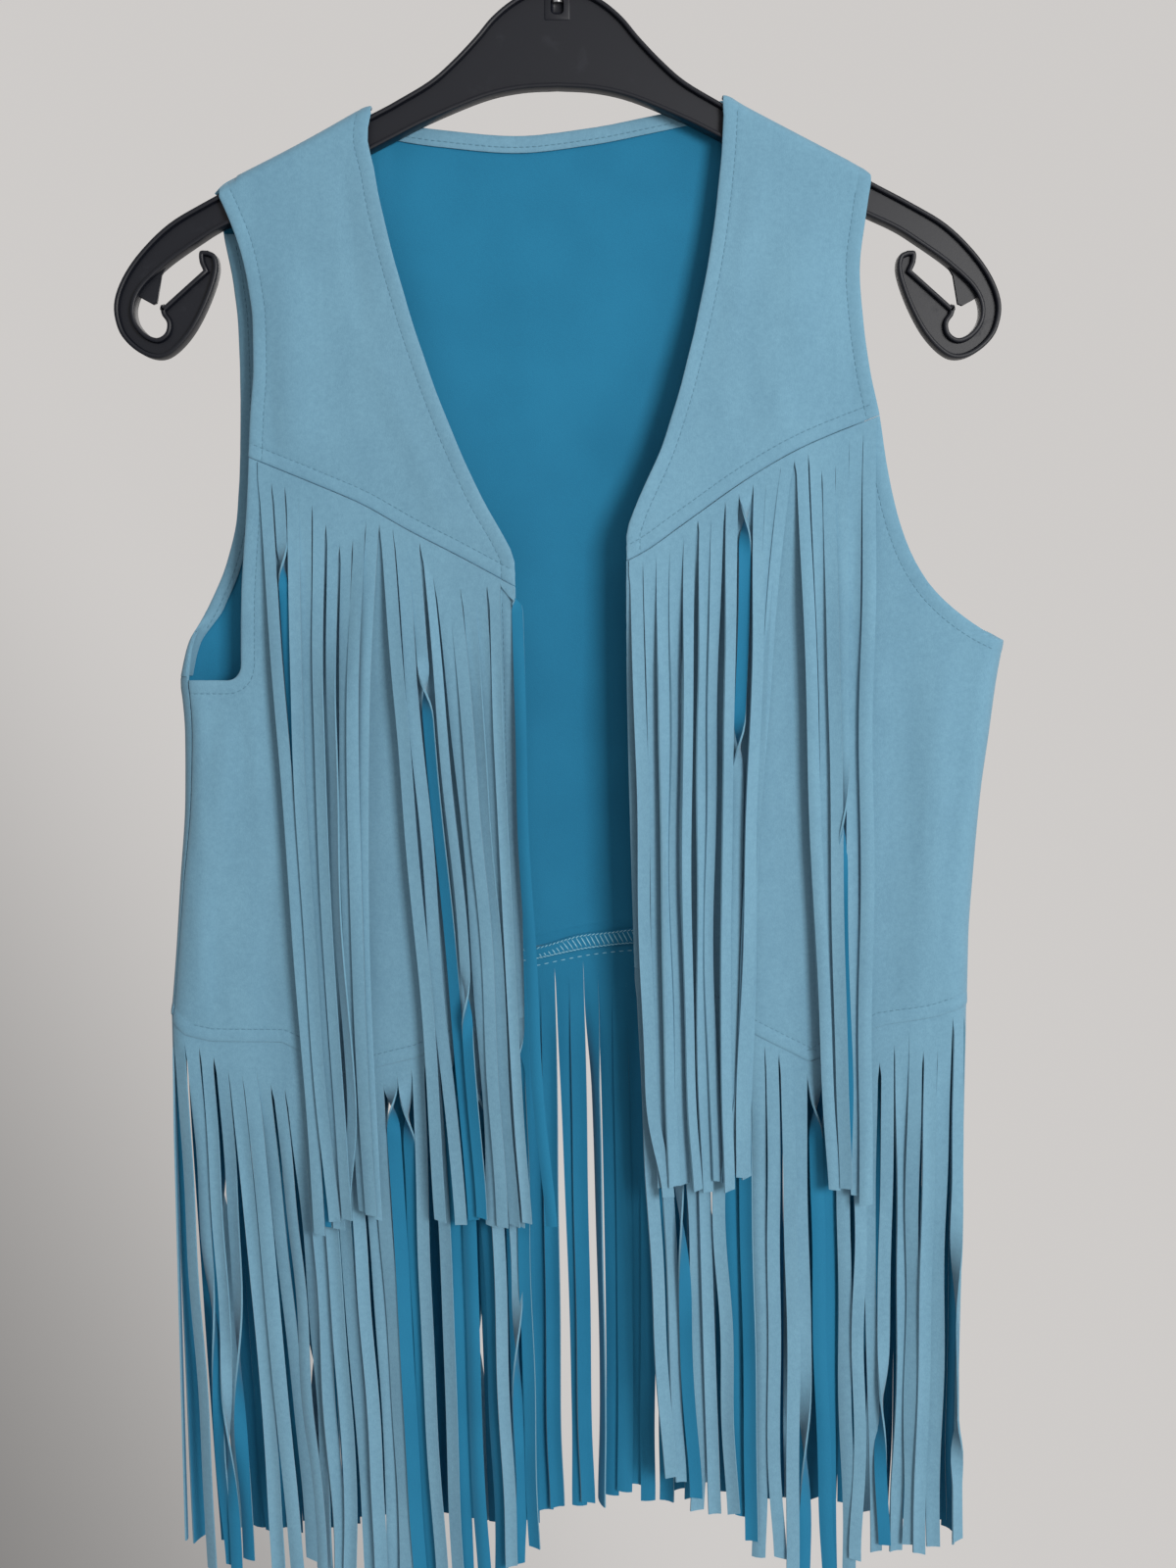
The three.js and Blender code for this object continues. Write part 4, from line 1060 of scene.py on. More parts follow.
def strands_of(look, point_on, pitch):
    noted = {key: straight(look["noted"], "strand", key) for key in ("middle", "tip", "slant")}
    turned_over = {row["strand"]: row for row in look["over"]}
    seed = look["seed"]
    strands = []
    for n in range(look["count"]):
        row = turned_over.get(n, {})
        root = point_on(pitch * (n + 0.5)) + Vector((row.get("aside", 0), 0, 0))
        strands.append({
            "number": n, "root": root,
            "length": look["length"](root.x) + look["uneven_length"] * uneven(n, seed),
            "middle": noted["middle"](n) + 0.9 * look["loose"] * uneven(n, seed + 7),
            "tip": noted["tip"](n) + 1.6 * look["loose"] * uneven(n, seed + 8),
            "slant": noted["slant"](n) + look["uneven_slant"] * uneven(n, seed + 5),
            "layer": look["clear"] + look["layer"] * look["lanes"][n % len(look["lanes"])],
            "over_from": row.get("over_from", NEVER), "over_to": row.get("over_to", NEVER),
            "over_in": row.get("over_in", look["twist"]), "way": row.get("way", 1),
            "deep": row.get("deep", 0), "curl": row.get("curl", 1.5 * uneven(n, seed + 12)),
            "cut": 0.3 * uneven(n, seed + 11),
        })
    return strands


def fringe(name, edge, look, node):
    """A fringe that hangs from an edge: points from left to right along its upper line."""
    point_on, level_at, total = walked(edge)
    count, seed = look["count"], look["seed"]
    pitch = total / count
    columns, rows = count * STRAND_COLUMNS, STRIP_ROWS + look["rows"]
    strands = strands_of(look, point_on, pitch)
    slit_below = straight(look["noted"], "strand", "slit")
    slits, gaps = [], []
    for k in range(count + 1):
        slits.append(max(SHORTEST_SLIT, slit_below(k - 0.5) + look["uneven_slit"] * uneven(k, seed + 13)))
        gaps.append(look["gap"] * max(0.3, 2.6 * abs(uneven(k, seed + 14)) - 0.4))

    def slit_at(column):
        """How far below the seam the strip is still whole."""
        k, part = divmod(column, STRAND_COLUMNS)
        return mix(slits[k], slits[min(k + 1, count)], part / STRAND_COLUMNS)

    bm = bmesh.new()
    bmesh.ops.create_grid(bm, x_segments=columns, y_segments=rows, size=0.5)

    def column_row(co):
        return round((co.x + 0.5) * columns), round((0.5 - co.y) * rows)

    cuts = []
    for e in bm.edges:
        (column, row), (other_column, other_row) = (column_row(v.co) for v in e.verts)
        inside = column == other_column and 0 < column < columns
        if inside and column % STRAND_COLUMNS == 0 and min(row, other_row) >= STRIP_ROWS:
            cuts.append(e)
    bmesh.ops.split_edges(bm, edges=cuts)

    homes = []
    for vertex in bm.verts:
        middle = sum(f.calc_center_median().x for f in vertex.link_faces) / len(vertex.link_faces)
        homes.append((vertex, clamp(int((middle + 0.5) * count), 0, count - 1), *column_row(vertex.co)))
    for vertex, n, column, row in homes:
        strand = strands[n]
        distance = total * column / columns
        on_strip = point_on(distance)
        slit = slit_at(column)
        if row <= STRIP_ROWS:
            vertex.co = (on_strip + DOWN * mix(look["top"], slit, row / STRIP_ROWS)) * MM
            continue
        t = ((row - STRIP_ROWS) / look["rows"]) ** CLOSER_AT_TOP
        drop = mix(slit, strand["length"], t)
        across = distance - pitch * (n + 0.5)
        along, away = level_at(pitch * (n + 0.5))
        facing = along.x ** 2
        sideways, outwards, turn = strand_line(look, strand, t)
        turn *= facing
        if column % STRAND_COLUMNS == 0:
            gap = gaps[column // STRAND_COLUMNS] * smooth((drop - slit) / GAP_OPENS)
            across -= math.copysign(gap, across)
        across *= 1 + look["spread"] * smooth(t * 6)
        cup = look["cup"] * uneven(n, seed + 15) * ((across / pitch) ** 2 - 0.08) * smooth(t * 5)
        wide = along * math.cos(turn) + away * math.sin(turn)
        deep = away * math.cos(turn) - along * math.sin(turn)
        hung = strand["root"] + away * (outwards * facing) + wide * across + deep * cup
        hung.x += sideways * facing
        hung += DOWN * (drop + across * strand["cut"] * (row == rows))
        flat = on_strip + DOWN * drop
        vertex.co = flat.lerp(hung, smooth((drop - slit) / LEAVES_STRIP)) * MM
    bmesh.ops.recalc_face_normals(bm, faces=bm.faces)
    lowest = (min(point.z for point in edge) - 2) * MM
    strip = [f for f in bm.faces if f.calc_area() > 0 and all(v.co.z > lowest for v in f.verts)]
    if sum((f.normal * f.calc_area() for f in strip), Vector()).dot(look["outward"]) < 0:
        bmesh.ops.reverse_faces(bm, faces=bm.faces)
    piece = thickened(object_of(bm, name, CUT_CLOTH), FRINGE_CLOTH, 0, rim=2)
    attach(piece, "root")
    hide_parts(node)
    longest = max(strand["length"] for strand in strands)
    cut = sum(strand["length"] for strand in strands) * pitch / 100
    print(f"{name}: {count} strands, seam {total:.0f} mm, longest {longest:.0f} mm, cloth {cut:.0f} cm2")
    return piece


print("Each strand has", STRAND_COLUMNS, "columns, so that it can cup")

# %% [markdown]
# ## The yoke fringes
#
# Their cloth comes out from under the yoke's lower edge. The left one has nineteen strands and the right one
# eighteen. On each side the strands have drawn together into two bundles, with a bare stretch of the lower
# front showing between them, and a few hang turned over.

# %% Yoke fringes
NOTED = "strand middle tip slant slit"
OVER = "strand over_from over_to way curl over_in aside deep"
YOKE_CLEAR = CLOTH / 2 + SEAM_GAP + FRINGE_CLOTH / 2


def yoke_edge(side, start, end):
    """The yoke seam's line, as far in front of the lower front as the fringe's strip lies."""
    points = []
    for x in evenly(start, end, 120):
        z = side["yoke_seam"](x)
        points.append(Vector((x, front_depth(side, x, z) - YOKE_CLEAR, z)))
    return points


yoke_common = {
    "rows": 70, "lean": 3, "sway": 1.5, "ripple": 0.7, "uneven_length": 4, "uneven_slant": 9, "clear": 4.4,
    "layer": 2.1, "lanes": [0.6, 0, 1.4, 0.4, 1.8], "top": 0.5, "spread": 0, "uneven_slit": 1.5, "cup": 4,
    "gap": 0.42, "twist": 0.13, "room": 2, "loose": 1, "outward": TOWARDS_FRONT,
}
fringe_yoke_left = fringe(
    "vest_yoke_fringe_left", yoke_edge(LEFT, LEFT["armhole"](-270) + 4.5, LEFT["opening"](-328) - 0.5),
    {**yoke_common, "count": 19, "seed": 11, "length": lambda x: 374 - 0.52 * (x + 146),
     "noted": rows_of(
         NOTED, (0, 2, 3, 4, 6), (1, 0, 0, 6, 6), (2, -5.5, -6.5, 12, 6), (4, -7.6, -8, 20, 9),
         (5, -8.5, -10.5, 24, 22), (6, -9.5, -13, 22, 26), (7, -12.5, -16, 18, 8), (8, -16, -19, 14, 3),
         (9, 4.3, 7, 6, 1.5), (11, 4.5, 10, 8, 2), (12, 6.6, 7, 14, 3), (13, 6.5, 6, 12, 26),
         (14, 6.2, 5, 12, 7), (15, 4, 3.5, 10, 20), (16, 2, 2, 10, 4), (17, -2, 0, 4, 4),
         (18, -1.5, -3.2, 0, 3)),
     "over": rows_of(
         OVER, (1, 0.07, 9, 1, 0, 0.09), (5, 9, 99, 1, -6, 0.1), (11, 0.16, 9, -1, 0, 0.1),
         (12, 0.6, 9, 1, 1, 0.14), (18, -0.004, 9, 1, 0.5, 0.03, 4.6))},
    "yoke_fringe_left")
fringe_yoke_right = fringe(
    "vest_yoke_fringe_right", yoke_edge(RIGHT, RIGHT["opening"](-319) + 1, RIGHT["armhole"](-248) - 1),
    {**yoke_common, "count": 18, "seed": 51, "lean": 0.8, "length": lambda x: 304 + 0.63 * (x - 34),
     "noted": rows_of(
         NOTED, (0, 0.5, 5, 6, 4), (1, 0, 2.6, -8, 4), (3, -3.8, 0, -26, 3), (6, -4.8, -3, -30, 3),
         (8, -5.7, -9, -14, 2), (9, -5.3, -14, -10, 3), (10, -11, -18, -16, 2), (11, -16, -19, -20, 2),
         (12, 5.6, 12, 6, 3), (13, 4.7, 10, 8, 4), (14, 1.4, 7, 10, 22), (15, -1, 3.5, 8, 3),
         (16, -2.6, 1, 8, 3), (17, -3.8, -1.6, 8, 4)),
     "over": rows_of(
         OVER, (8, -0.01, 0.3, -1, 0, 0.12), (15, 0.4, 9, 1, -3, 0.2), (0, 9, 99, 1, 7, 0.1),
         (10, 9, 99, 1, -5, 0.1))},
    "yoke_fringe_right")

# %% [markdown]
# ## The hem fringes
#
# Each lower front has its own hem fringe, and so does the back. They hang just inside the hem's edge. Many
# of these strands have turned over, more near the sides, and gaps between them show the back fringe and
# what lies behind.

# %% Hem fringes


def front_hem_edge(side):
    """The hem's line from the side seam to the opening, on the middle of the cloth."""
    folded = [(share, 1) for share in evenly(0, 0.999, 12)]
    flat = [(1, share) for share in evenly(1, 0, 60)]
    points = []
    for share, from_opening in folded + flat:
        def place(z, share=share, from_opening=from_opening):
            return front_point(side, side["side"](z), share, from_opening, z)
        points.append(place(crossing(place, side["hem"], NEAR_HEM)))
    return points if side is LEFT else points[::-1]


def back_hem_edge():
    """The line of the back's hem, column by column."""
    points = []
    for column in range(BACK_COLUMNS + 1):
        def place(z, column=column):
            return back_place(column, z)
        points.append(place(crossing(place, back_hem, NEAR_BACK_HEM)))
    return points


hem_common = {
    "rows": 56, "sway": 2, "ripple": 0.8, "uneven_length": 7, "uneven_slant": 20, "clear": 0, "layer": -2.4,
    "lanes": [0, 1.5, 0.5, 1.9, 1], "top": 0, "spread": 0.03, "uneven_slit": 2.2, "cup": 4.5, "gap": 0.42,
    "twist": 0.15, "room": 0, "loose": 1.2, "outward": TOWARDS_FRONT,
}
hem_left = fringe(
    "vest_hem_fringe_left", front_hem_edge(LEFT),
    {**hem_common, "count": 25, "seed": 31, "lean": 2, "length": lambda x: 275,
     "noted": rows_of(
         NOTED, (0, 2, 3, 10, 5), (1, 1.5, 2, 0, 4), (2, 0.5, 0, -6, 5), (3, 0, -2.5, 10, 5),
         (4, 4, 7, 8, 22), (5, 6, 11, 10, 5), (7, 5, 8, 10, 24), (10, 3, 5, -8, 5), (11, 2, 2, 4, 5),
         (12, 4, 6, 0, 20), (15, 1, 1, -8, 4), (17, 0, -3, 14, 4), (18, 0, 1, 0, 4), (19, -1, -2, 0, 4),
         (22, 2, 3, -8, 5), (24, -1, -4, 0, 5)),
     "over": rows_of(
         OVER, (1, 0.35, 9, 1, 1, 0.45), (2, 0.5, 9, -1, 0, 0.4), (3, 0.42, 9, 1, 0, 0.5),
         (15, -0.004, 9, 1, 1, 0.13, 0, 2), (16, 0, 9, -1, 0, 0.16, 0, 1),
         (19, -0.004, 9, 1, 0, 0.1, 0, 2.5), (20, 0, 9, 1, 1, 0.12, 0, 1.5),
         (21, 0.02, 9, -1, 0, 0.14, 0, 2), (23, 0.4, 9, 1, -1, 0.35), (24, -0.004, 9, 1, 0, 0.12, 0, 2))},
    "hem_fringe_left")
hem_right = fringe(
    "vest_hem_fringe_right", front_hem_edge(RIGHT),
    {**hem_common, "count": 24, "seed": 71, "lean": 1.2,
     "length": lambda x: mix(262, 275, smooth((x - 70) / 60)),
     "noted": rows_of(
         NOTED, (0, 5, 8, 0, 5), (1, 5, 8, -6, 5), (2, 5, 6.5, 8, 5), (3, 4, 6, -8, 4), (5, 3, 4.5, 0, 18),
         (7, 1.5, 2, 10, 3), (9, 0, -1, 6, 3), (10, 1, 1, 0, 3), (12, 2, 4, 10, 4), (13, 1, 2, 0, 4),
         (16, 0, -1, 8, 22), (18, -1, -3, 0, 4), (19, -1, -3, 10, 4), (20, -2.5, -4.5, 8, 26),
         (21, -3, -5.5, 8, 5), (22, 1, 1.5, 0, 5), (23, 0, 1, 0, 6)),
     "over": rows_of(
         OVER, (2, 0.25, 9, 1, 1, 0.45), (6, 0, 9, -1, 0, 0.14, 0, 2.5), (7, 0.02, 9, 1, 0, 0.12, 0, 1.5),
         (11, 0.5, 9, 1, 0, 0.4), (12, 0, 9, -1, 1, 0.16, 0, 2), (13, 0, 9, 1, 0, 0.12, 0, 1),
         (17, 0.55, 9, -1, 1, 0.35), (22, 0.3, 0.75, 1, 0, 0.3))},
    "hem_fringe_right")
hem_back = fringe(
    "vest_hem_fringe_back", back_hem_edge(),
    {**hem_common, "count": 57, "seed": 91, "lean": 1.5, "rows": 48, "outward": TOWARDS_BACK,
     "uneven_slant": 9, "uneven_length": 5, "gap": 0, "spread": 0.05, "sway": 0.5, "ripple": 0.2,
     "loose": 0.25, "length": lambda x: mix(296, 276, smooth(abs(x - 10) / 180)),
     "noted": rows_of(
         NOTED, (0, 2, 5, 0, 11), (6, 3, 5, 8, 12), (12, 2, 4, -6, 11), (18, 2, 3, 8, 12),
         (24, 0, -1, -4, 12), (26, -1, -3, 0, 12), (27, -2, -5, 4, 13), (28, 2.5, 2, 0, 10),
         (29, -0.8, -2.8, 0, 13), (30, 0.6, -0.6, 66, 10), (31, 0, -2.6, 0, 10), (33, -1.5, -5.5, 0, 12),
         (34, -2.5, -7.5, 0, 12), (35, -0.5, -5, 0, 12), (40, 0, -2, 8, 12), (46, -1, -4, -6, 12),
         (51, -1, -4, 8, 12), (56, -3, -6, 0, 11)),
     "over": rows_of(
         OVER, (3, 0.2, 9, 1, 1, 0.3), (9, 0.5, 9, -1, 0, 0.3), (15, 0.12, 9, 1, 0, 0.3),
         (21, 0.5, 9, 1, -1, 0.3), (38, 0.3, 9, -1, 0, 0.3), (44, 0.05, 9, 1, 1, 0.3),
         (50, 0.5, 9, 1, 0, 0.3), (54, 0.15, 9, -1, 1, 0.3))},
    "hem_fringe_back")

# %% [markdown]
# ## Topstitching
#
# Thread is small, but its rhythm tells the eye how big a garment is. A stitch is an ellipsoid about 2.4 mm
# long, and a row of them follows a turned edge at STITCH_LINE. Each row starts from the edge's own line. The
# line is moved inwards, walked in equal steps, and each stitch is dropped on the finished cloth by a ray, so
# that it lies in the groove that was made for it.

# %% Topstitching
STITCH_PITCH = 3
NECK_STITCH_LINE = 5.4
TURNING_STITCH_LINE = 4.8


def thread_finish(name, deep, light, shine):
    finish = Finish(name, Specular_IOR_Level=shine, Sheen_Weight=0.1)
    strands = finish.noise(900, detail=2)
    finish.feeds(Base_Color=finish.colours(deep, light, strands), Roughness=0.5 + strands * 0.2)
    return finish.material


thread = thread_finish("thread", linear(74, 116, 138), linear(96, 138, 158), 0.3)
overlock_thread = thread_finish("overlock_thread", linear(96, 158, 186), linear(150, 198, 214), 0.4)


def surface_of(*pieces):
    """The cloth as something that rays can hit. Its pieces stand at the origin, unturned."""
    bm = bmesh.new()
    for piece in pieces:
        bm.from_mesh(piece.data)
    tree = BVHTree.FromBMesh(bm)
    bm.free()
    return tree


def moved_in(line, distance):
    """A line of (x, z) points moved sideways; a positive distance moves it to the right of its direction."""
    moved = []
    for i, (x, z) in enumerate(line):
        before, after = line[max(0, i - 1)], line[min(len(line) - 1, i + 1)]
        dx, dz = after[0] - before[0], after[1] - before[1]
        reach = math.hypot(dx, dz) or 1
        moved.append((x + distance * dz / reach, z - distance * dx / reach))
    return moved


def steps_along(line, pitch):
    """Pairs of places (x, z) and directions at equal steps along a line."""
    left_over, found = pitch / 2, []
    for (x, z), (next_x, next_z) in zip(line, line[1:]):
        reach = math.hypot(next_x - x, next_z - z)
        while left_over <= reach and reach > 0:
            t = left_over / reach
            way = (next_x - x) / reach, (next_z - z) / reach
            found.append(((mix(x, next_x, t), mix(z, next_z, t)), way))
            left_over += pitch
        left_over -= reach
    return found


def dropped(tree, x, z, outward):
    """The point of the cloth behind (x, z), as seen from the front or the back, and its normal."""
    start = Vector((x * MM, outward.y * 0.3, z * MM))
    place, normal, _, _ = tree.ray_cast(start, -outward)
    return place, normal


def stitched(bm, tree, line, outward, length=2.4, width=0.5, pitch=STITCH_PITCH, slant=0, proud=0.05):
    """Adds a row of stitches to bm; slant turns each one out of its row, in degrees."""
    for (x, z), (dx, dz) in steps_along(line, pitch):
        turn = math.radians(slant)
        dx, dz = dx * math.cos(turn) - dz * math.sin(turn), dx * math.sin(turn) + dz * math.cos(turn)
        first, normal = dropped(tree, x - dx * length / 2, z - dz * length / 2, outward)
        second, other_normal = dropped(tree, x + dx * length / 2, z + dz * length / 2, outward)
        if not first or not second or (first - second).length > 1.6 * length * MM:
            continue
        up = (normal + other_normal).normalized()
        along = (second - first).normalized()
        across = up.cross(along).normalized()
        turned = Matrix((along, across, along.cross(across))).transposed().to_4x4()
        sized = Matrix.Diagonal((length / 2 * MM, width / 2 * MM, width * 0.36 * MM, 1))
        middle = Matrix.Translation((first + second) / 2 + up * proud * MM)
        bmesh.ops.create_uvsphere(bm, u_segments=7, v_segments=5, radius=1, matrix=middle @ turned @ sized)


def sewn(name, rows, material=None):
    """One piece of sewing from rows of (tree, line, outward, settings). Each row is made by itself, as an
    operator takes longer on a large mesh."""
    whole = bmesh.new()
    for tree, line, outward, settings in rows:
        row = bmesh.new()
        stitched(row, tree, line, outward, **settings)
        mesh = bpy.data.meshes.new("row")
        row.to_mesh(mesh)
        row.free()
        whole.from_mesh(mesh)
        bpy.data.meshes.remove(mesh)
    piece = object_of(whole, name, [material or thread])
    piece.data.shade_smooth()
    print(f"{name}: {len(piece.data.polygons)} faces")
    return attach(piece, "root")


def front_rows(side, yoke_piece, lower_piece, seam_ends, hem_ends):
    """The rows of stitches on one front. seam_ends and hem_ends run from left to right."""
    upper, lower = surface_of(yoke_piece), surface_of(lower_piece)
    armhole_end, opening_end = seam_ends if side is LEFT else seam_ends[::-1]
    at_armhole, at_opening = side["yoke_seam"](armhole_end), side["yoke_seam"](opening_end)
    if side is LEFT:
        lower_armhole = armhole_corner_line(side)
    else:
        lower_armhole = edge_line(side["armhole"], at_armhole - 6, side["armpit"] + 2)
    inset = side["sign"] * STITCH_LINE
    lines = [
        (upper, edge_line(side["armhole"], -146, at_armhole - 2), inset),
        (upper, edge_line(side["opening"], -108, at_opening - 4), -inset),
        (upper, edge_line(side["yoke_seam"], *seam_ends, upright=False), -STITCH_LINE),
        (lower, lower_armhole, inset),
        (lower, edge_line(side["opening"], at_opening - 8, side["hem"](opening_end)), -inset),
        (lower, edge_line(side["hem"], *hem_ends, upright=False), -STITCH_LINE),
    ]
    return [(tree, moved_in(line, distance), TOWARDS_FRONT, {}) for tree, line, distance in lines]


front_stitches = sewn(
    "front_topstitching", front_rows(LEFT, yoke_left, lower_left, (-146, -22), (-180, -18))
    + front_rows(RIGHT, yoke_right, lower_right, (34, 150), (40, 196)))

back_tree = surface_of(back, neck_turning, turning_left, turning_right)
neck_line = edge_line(back_neck, STRAP_END["left"] + 6, STRAP_END["right"] - 6, upright=False)
hem_line = edge_line(back_hem, -182, 190, upright=False)
back_rows = [
    (back_tree, moved_in(neck_line, NECK_STITCH_LINE), TOWARDS_FRONT, {}),
    (back_tree, moved_in(neck_line, NECK_STITCH_LINE), TOWARDS_BACK, {}),
    (back_tree, moved_in(hem_line, -STITCH_LINE), TOWARDS_BACK, {}),
]
for half in (LEFT, RIGHT):
    line = edge_line(half["back_armhole"], -146, half["armpit"] + 8)
    back_rows.append((back_tree, moved_in(line, half["sign"] * STITCH_LINE), TOWARDS_BACK, {}))
    inside = edge_line(half["back_armhole"], -168, half["armpit"] + 26)
    back_rows.append((back_tree, moved_in(inside, half["sign"] * TURNING_STITCH_LINE), TOWARDS_FRONT, {}))
back_stitches = sewn("back_topstitching", back_rows)

# %% [markdown]
# ## The overlocked seam inside the hem
#
# Inside the back, the seam's raw edge is bound by an overlock machine. Slanting loops run from the stitch
# line up over the cloth's edge, and a chain of thread runs along both sides of them. The seam allowance is a
# narrow band of the cloth that stands proud of the panel. A plain row of stitches below it holds the
# fringe.

# %% Overlocked seam
ALLOWANCE = {"from": -178, "to": 188, "below": -6.2, "above": 0.8, "off": CLOTH / 2 + 0.45, "thickness": 1}


def allowance_point(along, across):
    x = mix(ALLOWANCE["from"], ALLOWANCE["to"], along)
    height = ALLOWANCE["above"] + 0.8 * math.sin(x / 17) + 0.4 * math.sin(x / 5.3)
    z = back_hem(x) + mix(height, ALLOWANCE["below"], across)
    return Vector((x, back_depth(x, z) - ALLOWANCE["off"] - ALLOWANCE["thickness"] / 2, z))


allowance = band("back_seam_allowance", 200, allowance_point, [reverse, reverse])
allowance_tree = surface_of(allowance)


def along_hem(rise):
    """A line along the allowance; rise is 0 at its lower edge and 1 at its upper one."""
    line = []
    for share in evenly(0.004, 0.996, 700):
        point = allowance_point(share, 1 - rise)
        line.append((point.x, point.z))
    return line


overlock_rows = rows_of(
    "rise length width pitch slant proud", (0.52, 6.3, 0.62, 2.3, 112, 0.2), (0.9, 2.2, 0.5, 2, 20, 0.2),
    (0.1, 2.4, 0.55, 1.9, -14, 0.2))
holding_line = [(x, z - 9.6) for x, z in hem_line]
overlock = sewn("overlock_stitching", [
    *((allowance_tree, along_hem(row.pop("rise")), TOWARDS_FRONT, row) for row in overlock_rows),
    (surface_of(hem_back), holding_line, TOWARDS_FRONT, {"length": 2.6, "width": 0.5, "pitch": 4.2}),
], overlock_thread)

# %% [markdown]
# ## The clothes hanger
#
# A moulded hanger is a thin web with a rim round it, as that is stiff and uses little plastic. Its outline is
# a few runs of points (x, z), each joined by a smooth curve, with real corners between the runs. A run begins
# where the one before it ends. The section of the rim is a short table of insets and depths, and every row of
# it becomes one loop round the outline.

# %% Hanger finish
WEB_HALF_DEPTH = 1.7


def moulded_plastic():
    finish = Finish("moulded_plastic", Specular_IOR_Level=0.3)
    grain = finish.noise(1400, detail=2)
    dust = finish.between(0.56, 0.8, finish.noise(55, detail=5, roughness=0.75))
    finish.feeds(
        Base_Color=finish.colours(linear(14, 17, 26), linear(42, 45, 54), dust * 0.35),
        Roughness=0.42 + dust * 0.2 + grain * 0.05,
    )
    finish.bumped(grain, strength=0.12, distance=0.0001)
    return finish.material


plastic = moulded_plastic()
print("Hanger finish:", plastic.name)

# %% Hanger
HANGER_RUNS = [
    [(0, -52), (12, -53.8), (21.6, -58.6), (30.5, -65.8), (38, -74.4), (48.7, -85.2), (60, -94.6),
     (78.2, -105)],
    [(110, -121), (147, -139.7)],
    [(166, -149.4), (182.5, -159), (196, -171.5), (205, -184), (209.2, -196), (207.6, -207.2),
     (202.5, -214.6), (195, -219.7), (187.5, -220.8), (181, -217.6), (174, -210.4), (168.2, -201.2),
     (163, -190), (160, -180), (160.8, -173.4), (164.4, -171.2)],
    [(168.2, -171.6), (168.4, -176.2), (166.8, -180.3)],
    [(185.6, -196.6), (187.1, -198.6), (186.6, -201)],
    [(184.4, -204.6), (185.4, -209.1), (189.4, -211.4), (194.5, -209.3), (198.6, -204.3), (199.7, -198.5),
     (198.2, -192.5), (194.5, -187), (189, -181.8)],
    [(181, -175.4), (169, -167.4), (158.8, -161.2), (144, -154.5)],
    [(110, -137), (77.4, -120.5)],
    [(60, -112), (34.8, -101.9), (17.1, -98), (0, -97)],
]
RIM = [(0, 0), (0, 3.7), (0.22, 4.25), (0.7, 4.5), (1.5, 4.5), (1.95, 4.2), (2.15, 3.4), (2.3, 1.9),
       (2.6, 1.5)]
NIB = [(184, -177), (187.2, -181.8), (188.6, -189), (189.7, -194.8), (191.5, -195.5), (197, -192.5),
       (201, -190), (200, -184)]
NIB_SECTION = [(0.4, -0.9), (0, -0.5), (0, 1.4), (0.4, 1.8)]
NOTCH = [(0, -66), (5, -66), (5, -53.4)]
MIDDLE_BOTTOM = (0, -97)
WEB_INSET = 0.3
BOSS = {"size": (13, 4, 15), "place": (0, 0, -59.5), "round_edge": 1.2}
RECESS = {"size": (6.2, 8, 7.6), "place": (0, -2.9, -60.2), "round_edge": 2.2}


def flat_points(pairs, sign=1):
    return [Vector((sign * x, 0, z)) for x, z in pairs]


def smooth_run(pairs, steps):
    """A Catmull-Rom curve through points (x, z), without its last point."""
    points = flat_points(pairs)
    ends = [2 * points[0] - points[1], *points, 2 * points[-1] - points[-2]]
    found = []
    for p0, p1, p2, p3 in zip(ends, ends[1:], ends[2:], ends[3:]):
        for t in evenly(0, 1, steps)[:-1]:
            found.append(0.5 * (2 * p1 + (p2 - p0) * t + (2 * p0 - 5 * p1 + 4 * p2 - p3) * t**2
                                + (3 * p1 - p0 - 3 * p2 + p3) * t**3))
    return found


def mirrored(half):
    """Closes the right half of an outline, whose two ends are on the middle line, with its mirror image."""
    return half + [Vector((-p.x, 0, p.z)) for p in half[-2:0:-1]]


def moved_inside(points, distance):
    moved = []
    for i, point in enumerate(points):
        before, after = points[i - 1], points[(i + 1) % len(points)]
        a, b = (point - before).normalized(), (after - point).normalized()
        across = Vector((a.z + b.z, 0, -(a.x + b.x))).normalized()
        stretch = max(0.6, across.x * a.z - across.z * a.x)
        moved.append(point + across * distance / stretch)
    return moved


def hanger_outlines():
    """The outline of the rim, and that of the web, which leaves room for the boss at the top."""
    half, corner = [], []
    for run in HANGER_RUNS:
        half += smooth_run(corner + run, 5)
        corner = run[-1:]
    half += flat_points([MIDDLE_BOTTOM])
    whole = mirrored(half)
    edge = tree_of([(p.x, p.z) for p in whole])
    inside = [p for p in moved_inside(whole, WEB_INSET)[:len(half)]
              if edge.find((p.x, 0, p.z))[2] > WEB_INSET - HAIR]
    inside[-1].x = 0
    beside_notch = [p for p in inside if p.x > NOTCH[-1][0] + 1 or p.z < -80]
    return whole, mirrored(flat_points(NOTCH) + beside_notch)


def plate(bm, points, loops, filled=True):
    """Loops of (inset, y) round an outline. Filling in the first and the last makes a closed plate."""
    rings = []
    for inset, y in loops:
        ring = moved_inside(points, inset) if inset else points
        rings.append([bm.verts.new(Vector((p.x, y, p.z)) * MM) for p in ring])
    for first, second in zip(rings, rings[1:]):
        for i in range(len(points)):
            bm.faces.new((first[i - 1], first[i], second[i], second[i - 1]))
    if filled:
        caps = [bm.faces.new(rings[0]), bm.faces.new(rings[-1])]
        bm.normal_update()
        bmesh.ops.triangulate(bm, faces=caps, quad_method="BEAUTY", ngon_method="EAR_CLIP")


